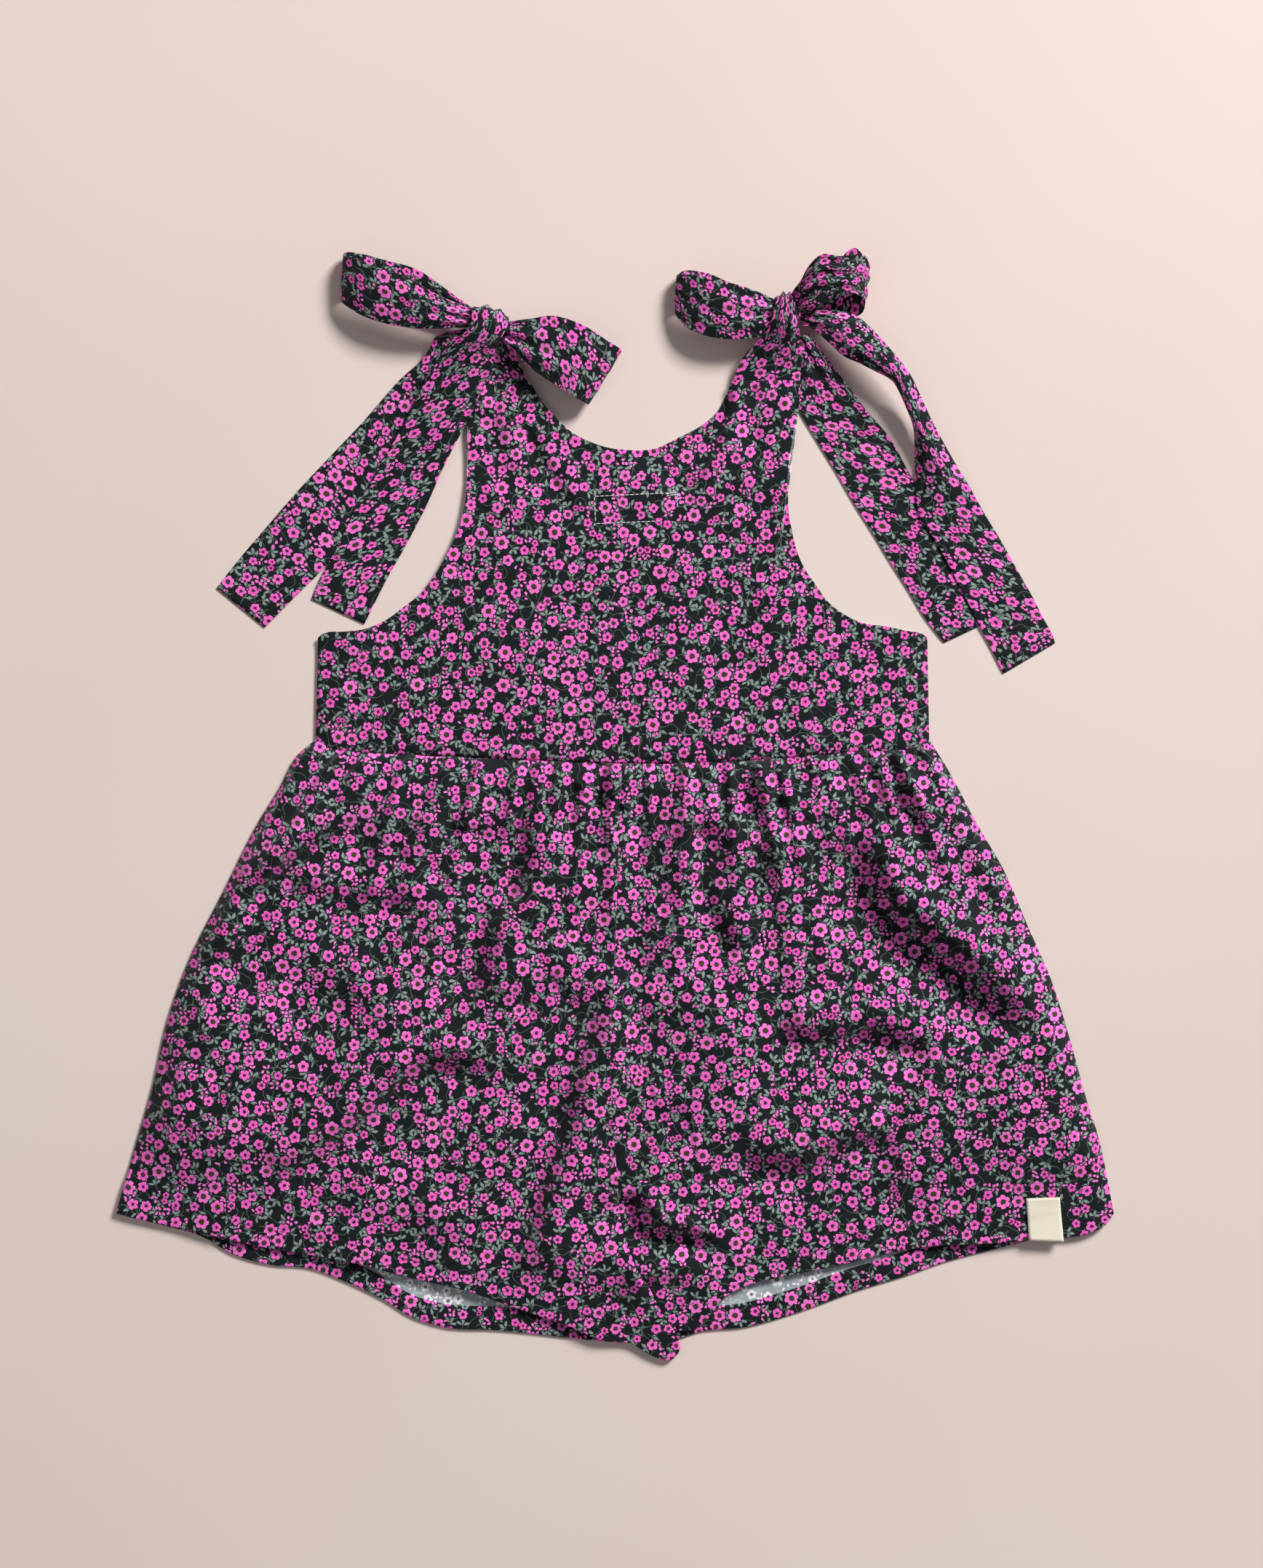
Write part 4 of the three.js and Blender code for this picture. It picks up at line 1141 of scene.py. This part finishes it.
    right_stub: Rows = (
        (57.4, 206.6, 3.6, 90.4, 206.0, 3.6, 0.3), (60.4, 215.2, 5.5, 90.8, 214.9, 5.0, 0.8),
        (64.7, 221.7, 8.0, 90.8, 220.9, 8.0, 1.2), (70.1, 226.7, 11.5, 90.1, 226.7, 11.0, 1.5),
        (74.4, 231.7, 15.0, 89.4, 231.7, 14.5, 2.0), (76.5, 238.1, 18.0, 88.3, 237.4, 17.5, 2.2),
        (77.9, 243.8, 17.5, 87.6, 243.8, 17.5, 2.0), (79.0, 247.6, 13.0, 87.2, 247.6, 13.0, 1.5),
        (79.7, 248.2, 6.0, 86.5, 248.2, 6.0, 0.5),
    )
    knots: Rows = ((-61.5, 235.0, 10.5, 8.6, 7.2, 7.6, -0.4), (82.5, 240.5, 10.0, 7.6, 8.4, 7.6, 0.2))

    def ribbons(self) -> tuple[Ribbon, ...]:
        """Give every stretch of tie, lowest first."""
        return (
            Ribbon("left_bow_lower_tail", self.left_lower, (0.18, 0.03), "laid", ("board",), (40, 700),
                pleat_start=1.0),
            Ribbon("left_back_tie", self.left_stub, (0.025, 0.029), "gathered", ("back_bodice",),
                (120, 720), pleat_end=1.2, steps=40),
            Ribbon("left_bow_outer_loop", self.left_outer, (0.14, 0.029), "folded", ("board",), (180, 700),
                pleat_start=1.4, pleat_end=1.0),
            Ribbon("left_bow_inner_loop", self.left_inner, (0.107, 0.029), "folded", ("back_bodice",),
                (260, 700), pleat_start=1.5, pleat_end=1.0),
            Ribbon("left_bow_upper_tail", self.left_upper, (0.175, 0.029), "laid", ("left_bow_lower_tail",),
                (330, 720), pleat_start=1.3, pleat_fade=26, steps=150),
            Ribbon("right_bow_lower_tail", self.right_lower, (0.168, 0.03), "laid", ("board",), (410, 700),
                pleat_start=1.0),
            Ribbon("right_back_tie", self.right_stub, (0.055, 0.029), "gathered", ("back_bodice",),
                (500, 720), pleat_start=0.2, pleat_end=1.3, pleat_fade=18),
            Ribbon("right_bow_outer_loop", self.right_outer, (0.109, 0.029), "folded", ("board",),
                (570, 700), pleat_start=1.3, pleat_end=1.0),
            Ribbon("right_bow_inner_loop", self.right_inner, (0.094, 0.029), "folded", ("board",),
                (660, 700), pleat_start=2.6, pleat_end=2.2, steps=130),
            Ribbon("right_bow_upper_tail", self.right_upper, (0.207, 0.029), "laid",
                ("right_bow_lower_tail",), (740, 720), pleat_start=0.8, steps=150),
        )

    def build(self, cloth: bpy.types.Material) -> None:
        """Make the ties, then each knot's core: an ellipsoid creased by the wraps that cross it.

        Args:
            cloth: the cloth's right side.
        """
        for ribbon in self.ribbons():
            ribbon.build(cloth)
        lon = np.linspace(0, 2 * math.pi, 64, endpoint=False)[None, :]
        lat = np.linspace(0.0, math.pi, 41)[:, None]
        for name, (x, y, z, rx, ry, rz, turn) in zip(("left_bow_knot", "right_bow_knot"), self.knots):
            ux, uy = np.sin(lat) * np.cos(lon), np.sin(lat) * np.sin(lon)
            uz = np.cos(lat) * np.ones_like(lon)
            wrap = 1 + 0.06 * np.cos(7 * ux + 2.5 * uy) + 0.03 * np.sin(11 * uy)
            px, py = rx * ux * wrap, ry * uy * wrap
            points = np.stack([x + px * math.cos(turn) - py * math.sin(turn),
                y + px * math.sin(turn) + py * math.cos(turn), z + rz * uz * wrap], axis=-1)
            around = np.append(lon[0], 2 * math.pi)[None, :] / (2 * math.pi) * 48
            uv = np.stack(np.broadcast_arrays(around + 850, lat * 9 + 400 + x), axis=-1)
            made = surface_object(name, points, uv, (cloth,), closed=True)
            close_shell(made)
            declare(made, [name])


# ---------------------------------------------------------------- stitches and label


def stitch_run(
    path: Array, length: float, gap: float, thick: float, dip: float = 0.25
) -> tuple[Array, Array]:
    """Work out a row of stitches along a path.

    Each stitch is a six-sided spindle: its radius is half of thick times the root of the sine along it, and
    its ends go down into the cloth by dip.

    Args:
        path: points along the cloth's upper face.
        length: one stitch.
        gap: the space to the next.
        thick: the thread's thickness.
        dip: how far the ends go down.

    Returns:
        Points and quads.
    """
    run = np.concatenate([[0], np.cumsum(np.linalg.norm(np.diff(path, axis=0), axis=1))])
    starts = np.arange(0.2, run[-1] - length, length + gap)
    share = np.linspace(0, 1, 6)
    where = starts[:, None] + share[None] * length
    centre = np.stack([np.interp(where, run, path[:, k]) for k in range(3)], axis=-1)
    centre[..., 2] += thick * 0.35 - dip * (2 * share - 1)[None] ** 4
    ahead = np.gradient(centre, axis=1)
    ahead /= np.linalg.norm(ahead, axis=-1, keepdims=True)
    side = np.cross(ahead, np.array([0, 0, 1.0]))
    side /= np.linalg.norm(side, axis=-1, keepdims=True)
    up = np.cross(side, ahead)
    turn = np.linspace(0, 2 * math.pi, 6, endpoint=False)
    radius = thick / 2 * np.sqrt(np.maximum(np.sin(math.pi * (0.06 + 0.88 * share)), 0))
    ring = side[..., None, :] * np.cos(turn)[:, None] + up[..., None, :] * np.sin(turn)[:, None]
    points = centre[..., None, :] + ring * radius[None, :, None, None]
    n = len(starts)
    i, j, k = np.meshgrid(np.arange(n), np.arange(5), np.arange(6), indexing="ij")
    base = (i * 6 + j) * 6
    quads = np.stack([base + k, base + (k + 1) % 6, base + 6 + (k + 1) % 6, base + 6 + k],
        axis=-1).reshape(-1, 4)
    return points.reshape(-1, 3), quads


@dataclass
class Sewing:
    """The visible stitches: the hems' lines, and the white box that holds a label inside the neck."""

    legs: Legs
    bodice: Bodice
    neck_box: Rows = ((-10.4, 151.2), (30.6, 153.0), (30.2, 145.4))
    neck_low: Rows = ((-9.7, 137.8), (22.8, 139.1))
    neck_side: Rows = ((-10.4, 151.2), (-9.7, 137.8))
    surface_gap: float = 0.3

    def thread(self, name: str, runs: Sequence[tuple[Array, Array]], material: bpy.types.Material) -> None:
        """Join runs of stitches into one piece.

        Args:
            name: the piece's name.
            runs: points and quads of each run.
            material: the thread.
        """
        points, quads, count = [], [], 0
        for p, q in runs:
            points.append(p)
            quads.append(q + count)
            count += len(p)
        mesh = bpy.data.meshes.new(name)
        mesh.from_pydata((np.concatenate(points) * MM).tolist(), [], np.concatenate(quads).tolist())
        mesh.polygons.foreach_set("use_smooth", np.ones(len(mesh.polygons), bool))
        mesh.materials.append(material)
        made = bpy.data.objects.new(name, mesh)
        bpy.context.scene.collection.objects.link(made)
        work = bmesh.new()
        work.from_mesh(mesh)
        bmesh.ops.holes_fill(work, edges=work.edges, sides=8)
        bmesh.ops.recalc_face_normals(work, faces=work.faces)
        work.to_mesh(mesh)
        work.free()
        declare(made, [])

    def on_bodice(self, rows: Rows) -> Array:
        """Carry a plan line onto the back bodice's upper face."""
        xy = Line(rows).at(np.linspace(0, 1, 160))
        z = self.bodice.height(xy[:, 0], xy[:, 1]) + self.surface_gap
        return np.column_stack([xy, z])

    def build(self) -> None:
        """Make the hem stitches and the neck box."""
        hems = []
        for name in ("back_left_leg", "back_right_leg"):
            u = np.linspace(0.006, 0.994, 500)
            v = np.full_like(u, 1 - (self.legs.hem - 0.6) / self.legs.drop_to_hem)
            path = self.legs.on_back(name, u, v)
            path[:, 2] += self.surface_gap
            hems.append(stitch_run(path, 2.3, 0.7, 0.34))
        self.thread("hem_stitches", hems, DARK_THREAD.dress())
        box = [stitch_run(self.on_bodice(part), 2.1, 0.35, 0.5, 0.1) for part in (self.neck_box[:2],
            self.neck_box[1:], self.neck_side, self.neck_low)]
        tack = self.on_bodice(((24.5, 151.6), (30.4, 152.8)))
        box += [stitch_run(tack + [0, dy, 0.25], 1.9, 0.1, 0.55, 0.05) for dy in (-0.45, 0.5)]
        self.thread("neck_stitches", box, WHITE_THREAD.dress())


@dataclass
class HemLabel:
    """A small bare tape label sewn over the right leg's hem."""

    legs: Legs
    place: Rows = ((201.0, -192.6), (217.5, -192.1), (219.5, -213.9), (202.6, -213.3))
    wall: float = 0.45

    def build(self) -> None:
        """Make the label: a flat four-cornered tape that follows the panel's height, its foot lifting a
        little.
        """
        a, b, c, d = (np.array(p) for p in self.place)
        u, v = np.meshgrid(np.linspace(0, 1, 13), np.linspace(0, 1, 17))
        u3, v3 = u[..., None], v[..., None]
        plan = (1 - v3) * ((1 - u3) * a + u3 * b) + v3 * ((1 - u3) * d + u3 * c)
        share_u = np.interp(plan[..., 0], [180, 225], [0.695, 0.885])
        share_v = 1 - np.clip((213.5 + plan[..., 1]) / 235, 0, 1)
        cloth = self.legs.on_back("back_right_leg", share_u, np.minimum(share_v, 0.998))[..., 2]
        z = np.maximum(cloth, cloth.mean()) + 0.75 + 0.5 * v**2 + 0.15 * np.sin(3 * u)
        points = np.concatenate([plan, z[..., None]], axis=-1)
        made = surface_object("hem_label", points, plan, (CREAM_TAPE.dress(),))
        thicken(made, self.wall)
        made.modifiers[-1].material_offset = 0
        declare(made, ["hem_label"])


# ---------------------------------------------------------------- the studio


@dataclass
class Studio:
    """The board, a soft window light from the upper right, and the camera straight above."""

    distance: float = 1.5
    frame_height: float = 0.7704
    centre: tuple[float, float] = (0.0079, 0.0102)

    def camera(self) -> None:
        """Place the camera straight above; its lens takes in frame_height at the board."""
        lens = bpy.data.cameras.new("camera")
        lens.sensor_width = 36.0
        lens.sensor_fit = "AUTO"
        lens.lens = 36.0 * self.distance / self.frame_height
        lens.clip_start = 0.05
        eye = bpy.data.objects.new("camera", lens)
        eye.location = (*self.centre, self.distance)
        bpy.context.scene.collection.objects.link(eye)
        bpy.context.scene.camera = eye

    def light(self, name: str, place: tuple[float, float, float], size: float, power: float,
        colour: str) -> None:
        """Add a square area light that looks at the garment's middle."""
        lamp = bpy.data.lights.new(name, "AREA")
        lamp.size = size
        lamp.energy = power
        lamp.color = linear(colour)[:3]
        obj = bpy.data.objects.new(name, lamp)
        obj.location = place
        away = np.array(place) / np.linalg.norm(place)
        obj.rotation_euler = (math.acos(away[2]), 0.0, math.atan2(away[1], away[0]) + math.pi / 2)
        bpy.context.scene.collection.objects.link(obj)

    def build(self) -> None:
        """Make the board and the lights."""
        mesh = bpy.data.meshes.new("board")
        s = 3.0
        mesh.from_pydata([(-s, -s, 0), (s, -s, 0), (s, s, 0), (-s, s, 0)], [], [(0, 1, 2, 3)])
        mesh.materials.append(PALE_BOARD.dress())
        board = bpy.data.objects.new("board", mesh)
        bpy.context.scene.collection.objects.link(board)
        self.light("window", (2.3, 2.6, 2.5), 1.2, 222.0, "#fffaf8")
        self.light("bounce", (-1.2, -0.5, 1.6), 1.6, 3.0, "#ffe9dc")
        world = bpy.data.worlds.new("room")
        world.use_nodes = True
        sky = world.node_tree.nodes["Background"]
        sky.inputs["Color"].default_value = linear("#eef0f6")
        sky.inputs["Strength"].default_value = 0.2
        bpy.context.scene.world = world
        bpy.context.scene.view_settings.view_transform = "Standard"


def main() -> None:
    """Build the scene in order and report each piece."""
    logging.basicConfig(level=logging.INFO, format="%(message)s")
    studio = Studio()
    studio.camera()
    studio.build()
    cloth = PrintedPoplin()
    right, wrong = cloth.dress(Face.RIGHT), cloth.dress(Face.WRONG)
    legs, bodice = Legs(), Bodice()
    legs.build(right, wrong)
    bodice.build(right, wrong)
    Bows().build(right)
    Sewing(legs, bodice).build()
    HemLabel(legs).build()


if __name__ == "__main__":
    main()
